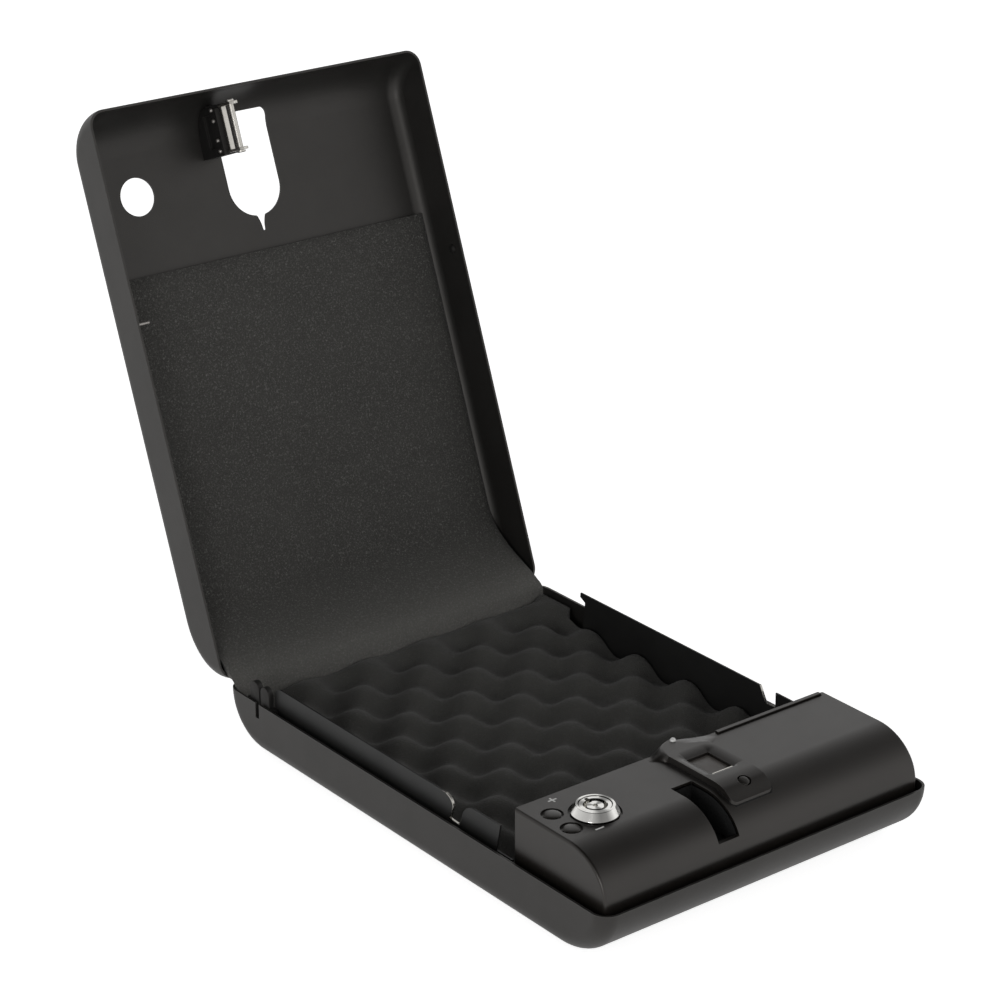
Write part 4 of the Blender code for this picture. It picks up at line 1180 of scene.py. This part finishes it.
def finish_node(name, finish, bevel):
    """A frame node keeps its shape and gets its material, welded seams and softened edges."""
    node = frame["nodes"][name]
    if "custom_normal" in node.data.attributes:
        node.data.attributes.remove(node.data.attributes["custom_normal"])
    node.data.polygons.foreach_set("use_smooth", [True] * len(node.data.polygons))
    node.data.materials.clear()
    node.data.materials.append(finish)
    weld = node.modifiers.new("weld", "WELD")
    weld.merge_threshold = 2e-6
    if bevel:
        rounding = node.modifiers.new("round", "BEVEL")
        rounding.width = bevel * MM
        rounding.segments = 2
        rounding.limit_method = "ANGLE"
        rounding.angle_limit = radians(34)
    split = node.modifiers.new("creases", "EDGE_SPLIT")
    split.split_angle = radians(32)


def carried_over():
    finishes = {
        "lid_stop_bracket": (DARK_STEEL, 0.3), "lock_nut": (STEEL, 0.2), "lock_cam": (STEEL, 0.15),
        "cam_screw": (DARK_STEEL, 0.15), "circuit_board": (BOARD, 0.1), "battery_tray": (PLASTIC, 0.2),
        "solenoid": (TAPE, 0.3), "solenoid_plunger": (STEEL, 0.2), "latch_bracket": (STEEL, 0.0),
        "latch_pin": (DARK_STEEL, 0.2), "latch_spring": (STEEL, 0.0), "latch_hook": (STEEL, 0.15),
    }
    for side in ("left", "right"):
        finishes[f"base_hinge_leaf_{side}"] = (LINER, 0.0)
        finishes[f"lid_hinge_leaf_{side}"] = (LINER, 0.0)
        finishes[f"hinge_pin_{side}"] = (STEEL, 0.1)
        finishes[f"hinge_spring_{side}"] = (STEEL, 0.0)
    for number in range(1, 5):
        finishes[f"battery_{number}"] = (CELL, 0.3)
        finishes[f"housing_screw_{number}"] = (DARK_STEEL, 0.0)
    for name, (finish, bevel) in finishes.items():
        finish_node(name, finish, bevel)


# ---------------- stage, light, camera


def stage():
    bm = bmesh.new()
    bmesh.ops.create_grid(bm, x_segments=1, y_segments=1, size=6.0)
    floor = object_of("floor", bm)
    floor.location.z = BASE_LOW.z - 0.0002
    made, tree, shader, place = new_material("pale_floor")
    tone = mixed(tree, noise_of(tree, place, 3.0), (0.86, 0.86, 0.86), (0.90, 0.90, 0.90))
    tree.links.new(tone, shader.inputs["Base Color"])
    shader.inputs["Roughness"].default_value = 0.8
    shader.inputs["Emission Color"].default_value = (1.0, 1.0, 1.0, 1.0)
    parts = parts_of(tree, place)
    # Painted shadow: right of and beside the base, the floor's glow that lights the safe is turned down.
    right = ramp(tree, parts["X"], 0.05, 0.13)
    beside = product(tree, right, ramp(tree, parts["Y"], BASE_LOW.y, BASE_LOW.y + 0.1))
    glow = ramp(tree, beside, 0.0, 1.0, FLOOR_GLOW, FLOOR_GLOW * FLOOR_SHADE)
    tree.links.new(by_camera(tree, glow, FLOOR_SEEN), shader.inputs["Emission Strength"])
    floor.data.materials.append(made)


def key_light():
    """A soft light at the front left, for the highlights along rounded edges."""
    data = bpy.data.lights.new("key", "AREA")
    data.shape = "RECTANGLE"
    data.size, data.size_y = KEY_SIZE
    data.energy = KEY_POWER
    made = bpy.data.objects.new("key", data)
    made.location = KEY_PLACE
    made.rotation_euler = (Vector(KEY_TARGET) - Vector(KEY_PLACE)).to_track_quat("-Z", "Y").to_euler()
    bpy.context.scene.collection.objects.link(made)


def light():
    """A white room: bright low down, dark overhead, dimmer on the left, and white to the camera."""
    world = bpy.data.worlds.new("studio")
    world.use_nodes = True
    tree = world.node_tree
    background = tree.nodes["Background"]
    way = add_node(tree, "ShaderNodeTexCoord").outputs["Generated"]
    parts = parts_of(tree, way)
    low = ramp(tree, parts["Z"], 0.45, 0.85, SKY_LOW, SKY_HIGH)
    behind = ramp(tree, parts["Y"], -0.6, 0.6, SKY_FRONT, 1.0)
    aside = ramp(tree, parts["X"], -0.9, -0.2, SKY_LEFT, 1.0)
    sky = product(tree, product(tree, low, behind), aside)
    tree.links.new(by_camera(tree, sky, 1.0), background.inputs["Strength"])
    background.inputs["Color"].default_value = (1.0, 1.0, 1.0, 1.0)
    bpy.context.scene.world = world
    bpy.context.scene.view_settings.view_transform = "Standard"
    key_light()


def camera():
    azimuth, elevation, roll = radians(AZIMUTH), radians(ELEVATION), radians(ROLL)
    back = Vector((-sin(azimuth) * cos(elevation), -cos(azimuth) * cos(elevation), sin(elevation)))
    flat = Vector((cos(azimuth), -sin(azimuth), 0.0))
    rise = back.cross(flat)
    right = flat * cos(roll) + rise * sin(roll)
    up = rise * cos(roll) - flat * sin(roll)
    data = bpy.data.cameras.new("camera")
    data.sensor_width = 36.0
    data.lens = FOCAL_LENGTH
    data.clip_start = 0.05
    data.clip_end = 50.0
    made = bpy.data.objects.new("camera", data)
    made.location = at(0, LENGTH / 2, 0) + back * DISTANCE + flat * SHIFT_RIGHT + rise * SHIFT_UP
    made.rotation_euler = Matrix((right, up, back)).transposed().to_euler()
    bpy.context.scene.collection.objects.link(made)
    bpy.context.scene.camera = made


base_shell()
lid_shell()
liner()
bare_edges()
housing()
slot_chute()
bezel()
bezel_shadow_line()
door()
lock()
buttons()
printed_marks()
reader()
striker()
studs()
egg_crate()
lid_foam()
carried_over()
stage()
light()
camera()
